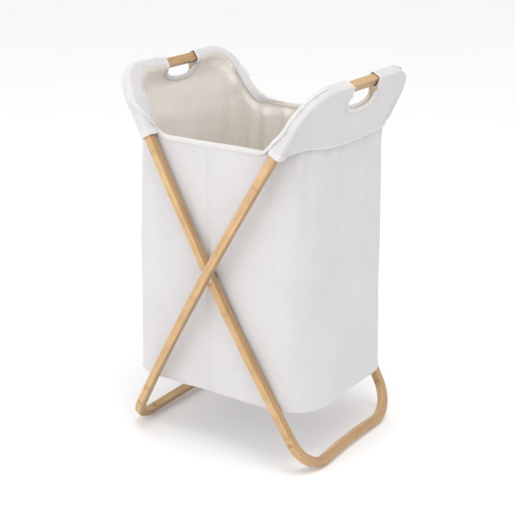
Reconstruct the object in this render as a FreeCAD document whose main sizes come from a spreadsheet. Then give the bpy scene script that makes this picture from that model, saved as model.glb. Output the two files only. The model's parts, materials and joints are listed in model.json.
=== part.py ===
"""Folding laundry hamper: two crossed bent-bamboo loops that carry a canvas bag.

Row frame: +Z up, +X across the crossing, +Y to the back, origin on the floor under the middle.
Each loop is drawn in its own plane: x across the loop, y along its legs, z through the strip.
"""
import FreeCAD
import Part

import math
import os

import Sketcher

Vector = FreeCAD.Vector
Placement = FreeCAD.Placement
Rotation = FreeCAD.Rotation

DIMENSIONS = {
    # loops
    "loop_length": 744.6,
    "lean": 30.0,
    "strip_width": 14.0,
    "strip_depth": 15.8,
    "edge_round": 2.5,
    "corner_radius": 68.0,
    "foot_rise": 3.0,
    "inner_half_width": 170.7,
    "inner_leg_bow": 19.0,
    "outer_half_width": 188.1,
    "outer_leg_bow": 27.3,
    "splice_level": 285.0,
    "dowel_radius": 4.0,
    "dowel_length": 40.0,
    # pivots
    "screw_radius": 3.0,
    "screw_hole_radius": 3.5,
    "screw_head_radius": 6.5,
    "screw_head_height": 2.4,
    "hex_key_radius": 2.3,
    "washer_thick": 1.0,
    "washer_radius": 8.0,
    "washer_gap": 0.02,
    "spacer_radius": 9.0,
    "spacer_gap": 0.3,
    "insert_radius": 4.5,
    "insert_length": 11.0,
    # bag
    "bag_length": 368.0,
    "bag_depth": 284.0,
    "bag_corner": 62.0,
    "bag_floor": 108.0,
    "bag_rim": 552.0,
    "bag_end_top": 622.0,
    "cloth_thick": 2.0,
    "rim_flat": 78.0,
    "rim_sweep": 60.0,
    "hood_half_width": 125.0,
    "hood_corner": 50.0,
    "handle_length": 100.0,
    "handle_height": 48.0,
    "handle_level": 629.0,
    "binding_width": 4.0,
    "binding_proud": 0.5,
    "flap_gap": 0.6,
    "flap_thick": 1.4,
    "flap_bottom": 556.0,
    "flap_half_width": 118.0,
    "tape_width": 8.0,
    "tape_thick": 0.8,
    # sleeves on the loops
    "sleeve_gap": 0.5,
    "sleeve_thick": 1.6,
    "sleeve_start": 43.0,
    "sleeve_end_level": 262.0,
    "cuff_height": 7.0,
    "cuff_gap": 0.9,
    "cuff_thick": 2.2,
    # base board
    "board_length": 352.0,
    "board_depth": 270.0,
    "board_thick": 3.0,
    "board_gap": 0.3,
    "hinge_tape_width": 30.0,
    "hinge_tape_length": 250.0,
    "hinge_tape_thick": 0.6,
}

doc = FreeCAD.newDocument("hamper")
dims = doc.addObject("Spreadsheet::Sheet", "Dims")
for row, (alias, number) in enumerate(DIMENSIONS.items(), start=1):
    dims.set("A%d" % row, alias)
    dims.set("B%d" % row, str(number))
    dims.setAlias("B%d" % row, alias)
doc.recompute()


def value(expression):
    """The number an expression over the sheet gives now."""
    return float(dims.evalExpression(expression))


def dim(name):
    """A sheet cell as it is written inside an expression."""
    return "Dims." + name


# ---------------------------------------------------------------- document helpers


def new_body(label, placement=Placement()):
    body = doc.addObject("PartDesign::Body", label)
    body.Label = label
    body.AllowCompound = True
    body.Placement = placement
    return body


def origin_plane(body, role):
    return next(item for item in body.Origin.OriginFeatures if item.Role == role)


def new_sketch(body, name, role, offset=None):
    """A sketch on one of the body's own origin planes, moved along its normal by an expression."""
    sketch = body.newObject("Sketcher::SketchObject", name)
    sketch.AttachmentSupport = [(origin_plane(body, role), "")]
    sketch.MapMode = "FlatFace"
    if offset is not None:
        sketch.AttachmentOffset = Placement(Vector(0, 0, value(offset)), Rotation())
        sketch.setExpression("AttachmentOffset.Base.z", offset)
    return sketch


def constrain(sketch, kind, *arguments):
    return sketch.addConstraint(Sketcher.Constraint(kind, *arguments))


def measure(sketch, kind, *arguments):
    """A driving dimension; the last argument is its expression."""
    expression = arguments[-1]
    index = constrain(sketch, kind, *arguments[:-1], value(expression))
    name = "size_%d" % index
    sketch.renameConstraint(index, name)
    sketch.setExpression("Constraints." + name, expression)


def locate(sketch, kind, geometry, point, expression):
    """Hold a point at a signed distance from the sketch's origin, along X or Y."""
    number = value(expression)
    if abs(number) < 1e-9:
        axis = -2 if kind == "DistanceX" else -1
        constrain(sketch, "PointOnObject", geometry, point, axis)
    elif number > 0:
        measure(sketch, kind, -1, 1, geometry, point, expression)
    else:
        measure(sketch, kind, geometry, point, -1, 1, "-(%s)" % expression)


def rectangle(sketch, left, right, bottom, top):
    """A rectangle between four expressions."""
    x0, x1, y0, y1 = value(left), value(right), value(bottom), value(top)
    corners = [Vector(x0, y0, 0), Vector(x1, y0, 0), Vector(x1, y1, 0), Vector(x0, y1, 0)]
    first = sketch.GeometryCount
    for index in range(4):
        sketch.addGeometry(Part.LineSegment(corners[index], corners[(index + 1) % 4]), False)
    for index in range(4):
        constrain(sketch, "Coincident", first + index, 2, first + (index + 1) % 4, 1)
        constrain(sketch, "Horizontal" if index % 2 == 0 else "Vertical", first + index)
    locate(sketch, "DistanceX", first, 1, left)
    locate(sketch, "DistanceX", first + 1, 1, right)
    locate(sketch, "DistanceY", first, 1, bottom)
    locate(sketch, "DistanceY", first + 2, 1, top)


def rounded_rectangle(sketch, left, right, bottom, top, radius):
    """A rectangle between four expressions, with one corner radius."""
    x0, x1, y0, y1, r = value(left), value(right), value(bottom), value(top), value(radius)
    first = sketch.GeometryCount
    lines = [
        (Vector(x0 + r, y0, 0), Vector(x1 - r, y0, 0)),
        (Vector(x1, y0 + r, 0), Vector(x1, y1 - r, 0)),
        (Vector(x1 - r, y1, 0), Vector(x0 + r, y1, 0)),
        (Vector(x0, y1 - r, 0), Vector(x0, y0 + r, 0)),
    ]
    centres = [Vector(x1 - r, y0 + r, 0), Vector(x1 - r, y1 - r, 0),
               Vector(x0 + r, y1 - r, 0), Vector(x0 + r, y0 + r, 0)]
    for index in range(4):
        turn = math.radians(90 * (index - 1))
        circle = Part.Circle(centres[index], Vector(0, 0, 1), r)
        sketch.addGeometry(Part.LineSegment(*lines[index]), False)
        sketch.addGeometry(Part.ArcOfCircle(circle, turn, turn + math.pi / 2), False)
    for index in range(8):
        constrain(sketch, "Tangent", first + index, 2, first + (index + 1) % 8, 1)
    for index in range(4):
        constrain(sketch, "Horizontal" if index % 2 == 0 else "Vertical", first + 2 * index)
    for index in range(1, 4):
        constrain(sketch, "Equal", first + 1, first + 1 + 2 * index)
    measure(sketch, "Radius", first + 1, radius)
    locate(sketch, "DistanceY", first, 1, bottom)
    locate(sketch, "DistanceX", first + 2, 1, right)
    locate(sketch, "DistanceY", first + 4, 1, top)
    locate(sketch, "DistanceX", first + 6, 1, left)


def pad(body, sketch, name, length, symmetric=False, reversed_side=False):
    feature = body.newObject("PartDesign::Pad", name)
    feature.Profile = sketch
    feature.SideType = "Symmetric" if symmetric else "One side"
    feature.Reversed = reversed_side
    feature.Length = value(length)
    feature.setExpression("Length", length)
    return feature


def pocket(body, sketch, name, depth):
    """Cut a profile to a depth below its sketch."""
    feature = body.newObject("PartDesign::Pocket", name)
    feature.Profile = sketch
    feature.Length = value(depth)
    feature.setExpression("Length", depth)
    return feature


def pocket_through(body, sketch, name):
    """Cut a profile through the whole body, on both sides of its sketch."""
    doc.recompute()
    before = body.Shape.Volume
    feature = body.newObject("PartDesign::Pocket", name)
    feature.Profile = sketch
    feature.SideType = "Symmetric"
    feature.Type = "ThroughAll"
    doc.recompute()
    if body.Shape.Volume >= before - 1e-6:
        raise RuntimeError("%s cuts nothing from %s" % (name, body.Label))
    return feature


def mirror(body, role, *originals):
    """Repeat each feature on the other side of one of the body's origin planes."""
    for original in originals:
        feature = body.newObject("PartDesign::Mirrored", "mirror")
        feature.Originals = [original]
        feature.MirrorPlane = (origin_plane(body, role), [""])
        body.Tip = feature
        doc.recompute()


def cylinder(body, kind, name, radius, height, position, direction):
    """A PartDesign cylinder from a point along a direction."""
    feature = body.newObject("PartDesign::" + kind, name)
    feature.Radius = value(radius)
    feature.setExpression("Radius", radius)
    feature.Height = value(height)
    feature.setExpression("Height", height)
    feature.Placement = Placement(position, Rotation(Vector(0, 0, 1), direction))
    return feature


# ---------------------------------------------------------------- loop geometry

HALF_LENGTH = "Dims.loop_length / 2"
BAR_LINE = "(Dims.loop_length / 2 - Dims.strip_depth / 2)"
CORNER_LINE = "(Dims.loop_length / 2 - Dims.corner_radius)"
CORNER_BEND = "(Dims.corner_radius - Dims.strip_depth / 2)"
HALF_STRIP = "Dims.strip_width / 2"
HALF_DEPTH = "Dims.strip_depth / 2"

LEAN = math.radians(value(dim("lean")))
FOOT_LIFT = "(%s * sin(Dims.lean) - Dims.edge_round * (cos(Dims.lean) + sin(Dims.lean) - 1))" % HALF_STRIP
PIVOT_HEIGHT = value("%s * cos(Dims.lean) + %s" % (HALF_LENGTH, FOOT_LIFT))
PIVOT = Vector(0, 0, PIVOT_HEIGHT)


def loop_placement(side):
    """A loop's plane through the pivot axis: its top leans to side * X."""
    legs = Vector(side * math.sin(LEAN), 0, math.cos(LEAN))
    across = Vector(0, 1, 0)
    return Placement(PIVOT, Rotation(across, legs, across.cross(legs), "XYZ"))


class Loop:
    """The bent centre line of one loop, as expressions and as numbers."""

    def __init__(self, name, side, half_width, leg_bow):
        self.name = name
        self.side = side
        self.half_width = dim(half_width)
        bow = dim(leg_bow)
        outer_bend = "((%s) ^ 2 + %s ^ 2) / (2 * %s)" % (HALF_LENGTH, bow, bow)
        self.leg_bend = "(%s - %s)" % (outer_bend, HALF_DEPTH)
        self.leg_centre = "(%s - %s)" % (self.half_width, outer_bend)
        self.placement = loop_placement(side)

    def leg_point(self, level):
        """A point of the leg's centre line and the leg's direction there, towards the top."""
        bend = value(self.leg_bend)
        turn = math.asin(value(level) / bend)
        point = Vector(value(self.leg_centre) + bend * math.cos(turn), bend * math.sin(turn), 0)
        return point, Vector(-math.sin(turn), math.cos(turn), 0)

    def corner_centre(self, end):
        """Centre of the corner arc at the foot (end -1) or the top (end +1)."""
        reach = value(self.leg_bend) - value(CORNER_BEND)
        level = value(CORNER_LINE)
        across = value(self.leg_centre) + math.sqrt(reach ** 2 - level ** 2)
        return Vector(across, end * level, 0)

    def add_leg(self, sketch, low, high, level, free_end):
        """The leg arc between two angles; its free end lies at a level along the leg."""
        centre = Vector(value(self.leg_centre), 0, 0)
        circle = Part.Circle(centre, Vector(0, 0, 1), value(self.leg_bend))
        leg = sketch.addGeometry(Part.ArcOfCircle(circle, low, high), False)
        constrain(sketch, "PointOnObject", leg, 3, -1)
        locate(sketch, "DistanceX", leg, 3, self.leg_centre)
        measure(sketch, "Radius", leg, self.leg_bend)
        locate(sketch, "DistanceY", leg, free_end, level)
        return leg

    def foot_path(self, sketch, level):
        """Half the centre line from the middle of the foot up one leg to a level."""
        corner = self.corner_centre(-1)
        bend = value(CORNER_BEND)
        rise = value(dim("foot_rise"))
        foot_bend = (corner.x ** 2 + rise ** 2) / (2 * rise) - bend
        middle = -value(BAR_LINE) + rise
        foot_centre = Vector(0, middle - foot_bend, 0)
        to_foot = foot_centre - corner
        foot_turn = math.atan2(to_foot.y, to_foot.x)
        leg_turn = math.atan2(corner.y, corner.x - value(self.leg_centre))
        foot_circle = Part.Circle(foot_centre, Vector(0, 0, 1), foot_bend)
        foot = sketch.addGeometry(Part.ArcOfCircle(foot_circle, foot_turn + math.pi, math.pi / 2), False)
        corner_circle = Part.Circle(corner, Vector(0, 0, 1), bend)
        turn = sketch.addGeometry(Part.ArcOfCircle(corner_circle, foot_turn, leg_turn), False)
        free_turn = math.asin(value(level) / value(self.leg_bend))
        leg = self.add_leg(sketch, leg_turn, free_turn, level, 2)
        constrain(sketch, "Tangent", foot, 1, turn, 1)
        constrain(sketch, "Tangent", turn, 2, leg, 1)
        constrain(sketch, "PointOnObject", foot, 2, -2)
        constrain(sketch, "PointOnObject", foot, 3, -2)
        measure(sketch, "Radius", turn, CORNER_BEND)
        locate(sketch, "DistanceY", turn, 3, "-" + CORNER_LINE)
        locate(sketch, "DistanceY", foot, 2, "Dims.foot_rise - %s" % BAR_LINE)

    def top_path(self, sketch, start, level):
        """Part of the centre line from the top bar round the corner and down to a level."""
        corner = self.corner_centre(1)
        bar = value(BAR_LINE)
        leg_turn = math.atan2(corner.y, corner.x - value(self.leg_centre))
        line = sketch.addGeometry(Part.LineSegment(Vector(value(start), bar, 0), Vector(corner.x, bar, 0)), False)
        corner_circle = Part.Circle(corner, Vector(0, 0, 1), value(CORNER_BEND))
        turn = sketch.addGeometry(Part.ArcOfCircle(corner_circle, leg_turn, math.pi / 2), False)
        free_turn = math.asin(value(level) / value(self.leg_bend))
        leg = self.add_leg(sketch, free_turn, leg_turn, level, 1)
        constrain(sketch, "Tangent", line, 2, turn, 2)
        constrain(sketch, "Tangent", turn, 1, leg, 2)
        constrain(sketch, "Horizontal", line)
        measure(sketch, "Radius", turn, CORNER_BEND)
        locate(sketch, "DistanceX", line, 1, start)
        locate(sketch, "DistanceY", turn, 3, CORNER_LINE)


INNER = Loop("inner", -1, "inner_half_width", "inner_leg_bow")
OUTER = Loop("outer", 1, "outer_half_width", "outer_leg_bow")


def sweep(body, kind, name, spine, profile):
    feature = body.newObject("PartDesign::" + kind, name)
    feature.Profile = profile
    feature.Spine = (spine, ["Edge%d" % (index + 1) for index in range(spine.GeometryCount)])
    return feature


def strip_section(sketch, middle, margin):
    """The strip's rounded section about a level along the loop, grown by a margin."""
    rounded_rectangle(
        sketch,
        "%s - %s - %s" % (middle, HALF_DEPTH, margin),
        "%s + %s + %s" % (middle, HALF_DEPTH, margin),
        "-%s - %s" % (HALF_STRIP, margin),
        "%s + %s" % (HALF_STRIP, margin),
        "Dims.edge_round + %s" % margin,
    )


def dowel_hole(body, loop, direction):
    point, upward = loop.leg_point(dim("splice_level"))
    return cylinder(body, "SubtractiveCylinder", "dowel_hole", dim("dowel_radius"),
                    "Dims.dowel_length / 2 + 0.5", point, upward * direction)


# ---------------------------------------------------------------- frame parts


def lower_bow(loop, hole_radius, hole_start, hole_depth):
    """Foot, bottom corners and long legs, with the pivot holes, bent from one strip."""
    body = new_body(loop.name + "_lower_bow", loop.placement)
    path = new_sketch(body, "centre_line", "XY_Plane")
    loop.foot_path(path, dim("splice_level"))
    profile = new_sketch(body, "strip_section", "YZ_Plane")
    strip_section(profile, "(Dims.foot_rise - %s)" % BAR_LINE, "0")
    strip = sweep(body, "AdditivePipe", "strip", path, profile)
    doc.recompute()
    mirror(body, "YZ_Plane", strip)
    hole = cylinder(body, "SubtractiveCylinder", "pivot_hole", hole_radius, hole_depth,
                    Vector(value(hole_start), 0, 0), Vector(1, 0, 0))
    mirror(body, "YZ_Plane", hole)
    mirror(body, "YZ_Plane", dowel_hole(body, loop, -1))
    return body


def upper_bow(loop):
    """Top bar, top corners and the short leg ends that the sleeves cover."""
    body = new_body(loop.name + "_upper_bow", loop.placement)
    path = new_sketch(body, "centre_line", "XY_Plane")
    loop.top_path(path, "0", dim("splice_level"))
    profile = new_sketch(body, "strip_section", "YZ_Plane")
    strip_section(profile, BAR_LINE, "0")
    strip = sweep(body, "AdditivePipe", "strip", path, profile)
    doc.recompute()
    mirror(body, "YZ_Plane", strip)
    mirror(body, "YZ_Plane", dowel_hole(body, loop, 1))
    return body


def joint_dowels(loop):
    """Two dowels, one across each splice of a loop."""
    body = new_body(loop.name + "_joint_dowels", loop.placement)
    point, upward = loop.leg_point(dim("splice_level"))
    start = point - upward * value("Dims.dowel_length / 2")
    dowel = cylinder(body, "AdditiveCylinder", "dowel", "Dims.dowel_radius - 0.05",
                     dim("dowel_length"), start, upward)
    mirror(body, "YZ_Plane", dowel)
    return body


# Along the pivot axis, from the inside of the inner leg to the inside of the outer leg
INNER_LEG_INSIDE = "(Dims.inner_half_width - Dims.strip_depth)"
OUTER_LEG_INSIDE = "(Dims.outer_half_width - Dims.strip_depth)"
WASHER_START = "(%s - Dims.washer_gap - Dims.washer_thick)" % INNER_LEG_INSIDE
HEAD_TOP = "(%s - Dims.spacer_gap - Dims.screw_head_height)" % WASHER_START


def at_pivot(across):
    return Vector(0, value(across), 0)


def pivot_screws():
    """Low-head screws with a hex recess, through the inner leg into the outer leg's insert."""
    body = new_body("pivot_screws", Placement(PIVOT, Rotation()))
    outward = Vector(0, 1, 0)
    head = cylinder(body, "AdditiveCylinder", "head", dim("screw_head_radius"),
                    dim("screw_head_height"), at_pivot(HEAD_TOP), outward)
    mirror(body, "XZ_Plane", head)
    shank = cylinder(body, "AdditiveCylinder", "shank", "Dims.screw_radius - 0.02",
                     "%s + Dims.insert_length - %s - Dims.screw_head_height" % (OUTER_LEG_INSIDE, HEAD_TOP),
                     at_pivot(HEAD_TOP + " + Dims.screw_head_height"), outward)
    mirror(body, "XZ_Plane", shank)
    recess = body.newObject("PartDesign::SubtractivePrism", "hex_recess")
    recess.Polygon = 6
    recess.Circumradius = value(dim("hex_key_radius"))
    recess.setExpression("Circumradius", dim("hex_key_radius"))
    recess.Height = value("Dims.screw_head_height * 0.7")
    recess.setExpression("Height", "Dims.screw_head_height * 0.7")
    recess.Placement = Placement(at_pivot(HEAD_TOP), Rotation(Vector(0, 0, 1), outward))
    mirror(body, "XZ_Plane", recess)
    return body


def ring_pair(name, radius, bore, start, thick):
    """Two flat rings on the pivot axis, one on each side of the bag."""
    body = new_body(name, Placement(PIVOT, Rotation()))
    outward = Vector(0, 1, 0)
    ring = cylinder(body, "AdditiveCylinder", "ring", radius, thick, at_pivot(start), outward)
    mirror(body, "XZ_Plane", ring)
    hole = cylinder(body, "SubtractiveCylinder", "bore", bore, thick, at_pivot(start), outward)
    mirror(body, "XZ_Plane", hole)
    return body


# ---------------------------------------------------------------- sleeves on the loops


def sleeve(loop, name):
    """Cloth tube round the top bar and leg ends, open at the handle and at the leg exits."""
    body = new_body(name, loop.placement)
    path = new_sketch(body, "centre_line", "XY_Plane")
    loop.top_path(path, dim("sleeve_start"), dim("sleeve_end_level"))
    outside = new_sketch(body, "outside", "YZ_Plane", dim("sleeve_start"))
    strip_section(outside, BAR_LINE, "(Dims.sleeve_gap + Dims.sleeve_thick)")
    tube = sweep(body, "AdditivePipe", "tube", path, outside)
    mirror(body, "YZ_Plane", tube)
    inside = new_sketch(body, "inside", "YZ_Plane", dim("sleeve_start"))
    strip_section(inside, BAR_LINE, dim("sleeve_gap"))
    cavity = sweep(body, "SubtractivePipe", "cavity", path, inside)
    mirror(body, "YZ_Plane", cavity)
    return body


def cuffs(loop, name):
    """Folded hems where the legs leave a sleeve."""
    body = new_body(name, loop.placement)
    bottom = "(Dims.sleeve_end_level - Dims.cuff_height - 1)"
    point, _ = loop.leg_point(bottom)
    middle = repr(round(point.x, 3))
    section = new_sketch(body, "section", "XZ_Plane", "-" + bottom)
    for margin in ("(Dims.cuff_gap + Dims.cuff_thick)", dim("cuff_gap")):
        strip_section(section, middle, margin)
    hem = pad(body, section, "hem", dim("cuff_height"), reversed_side=True)
    mirror(body, "YZ_Plane", hem)
    return body


# ---------------------------------------------------------------- bag

HALF_BAG = "Dims.bag_length / 2"
HALF_BAG_DEPTH = "Dims.bag_depth / 2"
WALL_BOTTOM = "(Dims.bag_floor + Dims.cloth_thick)"


def bag_outline(sketch, margin):
    """The bag's rounded plan, grown by a margin."""
    rounded_rectangle(
        sketch,
        "-%s - %s" % (HALF_BAG, margin),
        "%s + %s" % (HALF_BAG, margin),
        "-%s - %s" % (HALF_BAG_DEPTH, margin),
        "%s + %s" % (HALF_BAG_DEPTH, margin),
        "Dims.bag_corner + %s" % margin,
    )


def handle_outline(sketch, margin):
    """The handle slot in an end panel, grown by a margin."""
    rounded_rectangle(
        sketch,
        "-Dims.handle_length / 2 - %s" % margin,
        "Dims.handle_length / 2 + %s" % margin,
        "Dims.handle_level - Dims.handle_height / 2 - %s" % margin,
        "Dims.handle_level + Dims.handle_height / 2 + %s" % margin,
        "Dims.handle_height / 2 + %s - 0.1" % margin,
    )


def keep_side(body, side, inner_edge):
    """Cut away everything on the other side of the bag's middle, up to an inner edge."""
    far = "(%s + 20)" % HALF_BAG
    window = new_sketch(body, "other_side", "XZ_Plane")
    left, right = ("-" + far, "%s" % inner_edge) if side > 0 else ("-(%s)" % inner_edge, far)
    rectangle(window, left, right, "0", "Dims.bag_end_top + 100")
    pocket_through(body, window, "keep_side")


def cut_hood(body):
    """Shape the top of an end panel to lie inside its sleeve, and cut the handle slot."""
    for side in (-1, 1):
        corner = new_sketch(body, "hood_corner", "YZ_Plane")
        edge = [dim("hood_half_width"), "(Dims.bag_depth)"]
        low = "(Dims.bag_end_top - Dims.hood_corner)"
        shoulder = "(Dims.hood_half_width - Dims.hood_corner)"
        hood_shoulder(corner, side, edge, low, shoulder)
        pocket_through(body, corner, "hood_shoulder")
    slot = new_sketch(body, "handle_slot", "YZ_Plane")
    handle_outline(slot, dim("binding_width"))
    pocket_through(body, slot, "handle_slot")


def hood_shoulder(sketch, side, edge, low, shoulder):
    """Everything above the rounded shoulder of an end panel, on one side."""
    radius = value(dim("hood_corner"))
    centre = Vector(side * value(shoulder), value(low), 0)
    turns = (0, math.pi / 2) if side > 0 else (math.pi / 2, math.pi)
    arc = sketch.addGeometry(Part.ArcOfCircle(Part.Circle(centre, Vector(0, 0, 1), radius), *turns), False)
    lower_end, upper_end = (1, 2) if side > 0 else (2, 1)
    near = Vector(side * value(edge[0]), value(low), 0)
    far = Vector(side * value(edge[1]), value(low), 0)
    top = value("Dims.bag_end_top + 60")
    high = Vector(far.x, top, 0)
    inner = Vector(centre.x, top, 0)
    crown = Vector(centre.x, value(dim("bag_end_top")), 0)
    points = [near, far, high, inner, crown]
    lines = [sketch.addGeometry(Part.LineSegment(a, b), False) for a, b in zip(points, points[1:])]
    for first, second in zip(lines, lines[1:]):
        constrain(sketch, "Coincident", first, 2, second, 1)
    constrain(sketch, "Coincident", lines[0], 1, arc, lower_end)
    constrain(sketch, "Coincident", lines[3], 2, arc, upper_end)
    constrain(sketch, "Horizontal", lines[0])
    constrain(sketch, "Vertical", lines[1])
    constrain(sketch, "Horizontal", lines[2])
    constrain(sketch, "Vertical", lines[3])
    sign = "" if side > 0 else "-"
    measure(sketch, "Radius", arc, dim("hood_corner"))
    locate(sketch, "DistanceX", arc, 3, sign + shoulder)
    locate(sketch, "DistanceY", arc, 3, low)
    constrain(sketch, "Horizontal", arc, 3, arc, lower_end)
    constrain(sketch, "Vertical", arc, 3, arc, upper_end)
    locate(sketch, "DistanceX", lines[1], 1, sign + edge[1])
    locate(sketch, "DistanceY", lines[2], 1, "Dims.bag_end_top + 60")


def cut_rim(body, side):
    """Lower the front and back walls to the rim, sweeping up towards the end panel."""
    window = new_sketch(body, "rim_sweep", "XZ_Plane")
    flat, sweep_radius, rim = value(dim("rim_flat")), value(dim("rim_sweep")), value(dim("bag_rim"))
    top = value("Dims.bag_end_top + 60")
    centre = Vector(side * flat, rim + sweep_radius, 0)
    turns = (-math.pi / 2, 0) if side > 0 else (math.pi, 1.5 * math.pi)
    circle = Part.Circle(centre, Vector(0, 0, 1), sweep_radius)
    arc = window.addGeometry(Part.ArcOfCircle(circle, *turns), False)
    rim_end, rise_end = (1, 2) if side > 0 else (2, 1)
    outer_x = side * (flat + sweep_radius)
    points = [Vector(outer_x, centre.y, 0), Vector(outer_x, top, 0), Vector(-side * 5, top, 0),
              Vector(-side * 5, rim, 0), Vector(side * flat, rim, 0)]
    lines = [window.addGeometry(Part.LineSegment(a, b), False) for a, b in zip(points, points[1:])]
    for first, second in zip(lines, lines[1:]):
        constrain(window, "Coincident", first, 2, second, 1)
    constrain(window, "Tangent", lines[0], 1, arc, rise_end)
    constrain(window, "Tangent", lines[3], 2, arc, rim_end)
    constrain(window, "Vertical", lines[0])
    constrain(window, "Horizontal", lines[1])
    constrain(window, "Vertical", lines[2])
    constrain(window, "Horizontal", lines[3])
    sign = "" if side > 0 else "-"
    measure(window, "Radius", arc, dim("rim_sweep"))
    locate(window, "DistanceX", arc, 3, sign + dim("rim_flat"))
    locate(window, "DistanceY", lines[3], 1, dim("bag_rim"))
    locate(window, "DistanceY", lines[1], 1, "Dims.bag_end_top + 60")
    locate(window, "DistanceX", lines[2], 1, "%d" % (-side * 5))
    pocket_through(body, window, "rim_sweep")


def bag_half(side, name):
    """Half the bag wall: one end panel with half the front and back, up to the centre seams."""
    body = new_body(name)
    plan = new_sketch(body, "plan", "XY_Plane", WALL_BOTTOM)
    bag_outline(plan, "0")
    bag_outline(plan, "-Dims.cloth_thick")
    pad(body, plan, "wall", "Dims.bag_end_top - %s" % WALL_BOTTOM)
    keep_side(body, side, "0")
    cut_rim(body, side)
    cut_hood(body)
    return body


def end_flap(side, name):
    """The outer cloth layer that hangs from the sleeve down the outside of an end panel."""
    body = new_body(name)
    plan = new_sketch(body, "plan", "XY_Plane", dim("flap_bottom"))
    bag_outline(plan, "(Dims.flap_gap + Dims.flap_thick)")
    bag_outline(plan, dim("flap_gap"))
    pad(body, plan, "wall", "Dims.bag_end_top - Dims.flap_bottom")
    window = new_sketch(body, "front_and_back", "YZ_Plane")
    high = "Dims.bag_end_top + 100"
    rectangle(window, "-Dims.bag_depth", "-Dims.flap_half_width", "0", high)
    rectangle(window, dim("flap_half_width"), dim("bag_depth"), "0", high)
    pocket_through(body, window, "front_and_back")
    keep_side(body, side, "Dims.bag_corner")
    cut_hood(body)
    return body


def handle_binding(side, name, inner_face, thick):
    """Tape round the handle slot of one cloth layer, below the top of the end panel."""
    body = new_body(name)
    face = inner_face if side > 0 else "-(%s + %s)" % (inner_face, thick)
    ring = new_sketch(body, "ring", "YZ_Plane", face)
    handle_outline(ring, dim("binding_width"))
    handle_outline(ring, "0")
    pad(body, ring, "tape", thick)
    window = new_sketch(body, "above_panel", "YZ_Plane")
    rectangle(window, "-Dims.handle_length", dim("handle_length"), dim("bag_end_top"),
              "Dims.bag_end_top + 100")
    pocket_through(body, window, "above_panel")
    return body


def rim_tape(side, name):
    """Binding folded over the straight part of the front or back rim."""
    body = new_body(name)
    section = new_sketch(body, "section", "YZ_Plane")
    outer, inner = HALF_BAG_DEPTH, "(%s - Dims.cloth_thick)" % HALF_BAG_DEPTH
    low, rim, thick = "(Dims.bag_rim - Dims.tape_width)", dim("bag_rim"), dim("tape_thick")
    points = [(inner + " - " + thick, low), (inner, low), (inner, rim), (outer, rim),
              (outer, low), (outer + " + " + thick, low),
              (outer + " + " + thick, rim + " + " + thick), (inner + " - " + thick, rim + " + " + thick)]
    corners = [Vector(side * value(y), value(z), 0) for y, z in points]
    count = len(points)
    for index in range(count):
        section.addGeometry(Part.LineSegment(corners[index], corners[(index + 1) % count]), False)
    for index in range(count):
        constrain(section, "Coincident", index, 2, (index + 1) % count, 1)
    sign = "" if side > 0 else "-"
    for index, (across, level) in enumerate(points):
        locate(section, "DistanceX", index, 1, "%s(%s)" % (sign, across))
        locate(section, "DistanceY", index, 1, level)
    pad(body, section, "tape", "2 * Dims.rim_flat", symmetric=True)
    return body


def bag_bottom():
    """The bag's floor cloth, under the walls."""
    body = new_body("bag_bottom")
    plan = new_sketch(body, "plan", "XY_Plane", dim("bag_floor"))
    bag_outline(plan, "0")
    pad(body, plan, "floor", dim("cloth_thick"))
    return body


BOARD_UNDERSIDE = "(%s + Dims.board_gap)" % WALL_BOTTOM
BOARD_TOP = "(%s + Dims.board_thick)" % BOARD_UNDERSIDE


def base_board(side, name):
    """One leaf of the stiff board on the bag's floor, hinged to the other at the middle."""
    body = new_body(name)
    plan = new_sketch(body, "plan", "XY_Plane", BOARD_UNDERSIDE)
    rounded_rectangle(plan, "-Dims.board_length / 2", "Dims.board_length / 2",
                      "-Dims.board_depth / 2", "Dims.board_depth / 2", "Dims.bag_corner - 6")
    pad(body, plan, "leaf", dim("board_thick"))
    rebate = new_sketch(body, "tape_rebate", "XY_Plane", BOARD_TOP)
    rectangle(rebate, "-Dims.hinge_tape_width / 2 - 0.5", "Dims.hinge_tape_width / 2 + 0.5",
              "-Dims.board_depth / 2 - 1", "Dims.board_depth / 2 + 1")
    pocket(body, rebate, "rebate", "Dims.hinge_tape_thick + 0.2")
    keep_side(body, side, "Dims.board_thick / 2")
    return body


def board_hinge_tape():
    """Cloth tape glued in the rebate over the joint between the two leaves."""
    body = new_body("board_hinge_tape")
    plan = new_sketch(body, "plan", "XY_Plane", "%s - Dims.hinge_tape_thick - 0.1" % BOARD_TOP)
    rectangle(plan, "-Dims.hinge_tape_width / 2", "Dims.hinge_tape_width / 2",
              "-Dims.hinge_tape_length / 2", "Dims.hinge_tape_length / 2")
    pad(body, plan, "tape", dim("hinge_tape_thick"))
    return body


# ---------------------------------------------------------------- build and write


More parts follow.
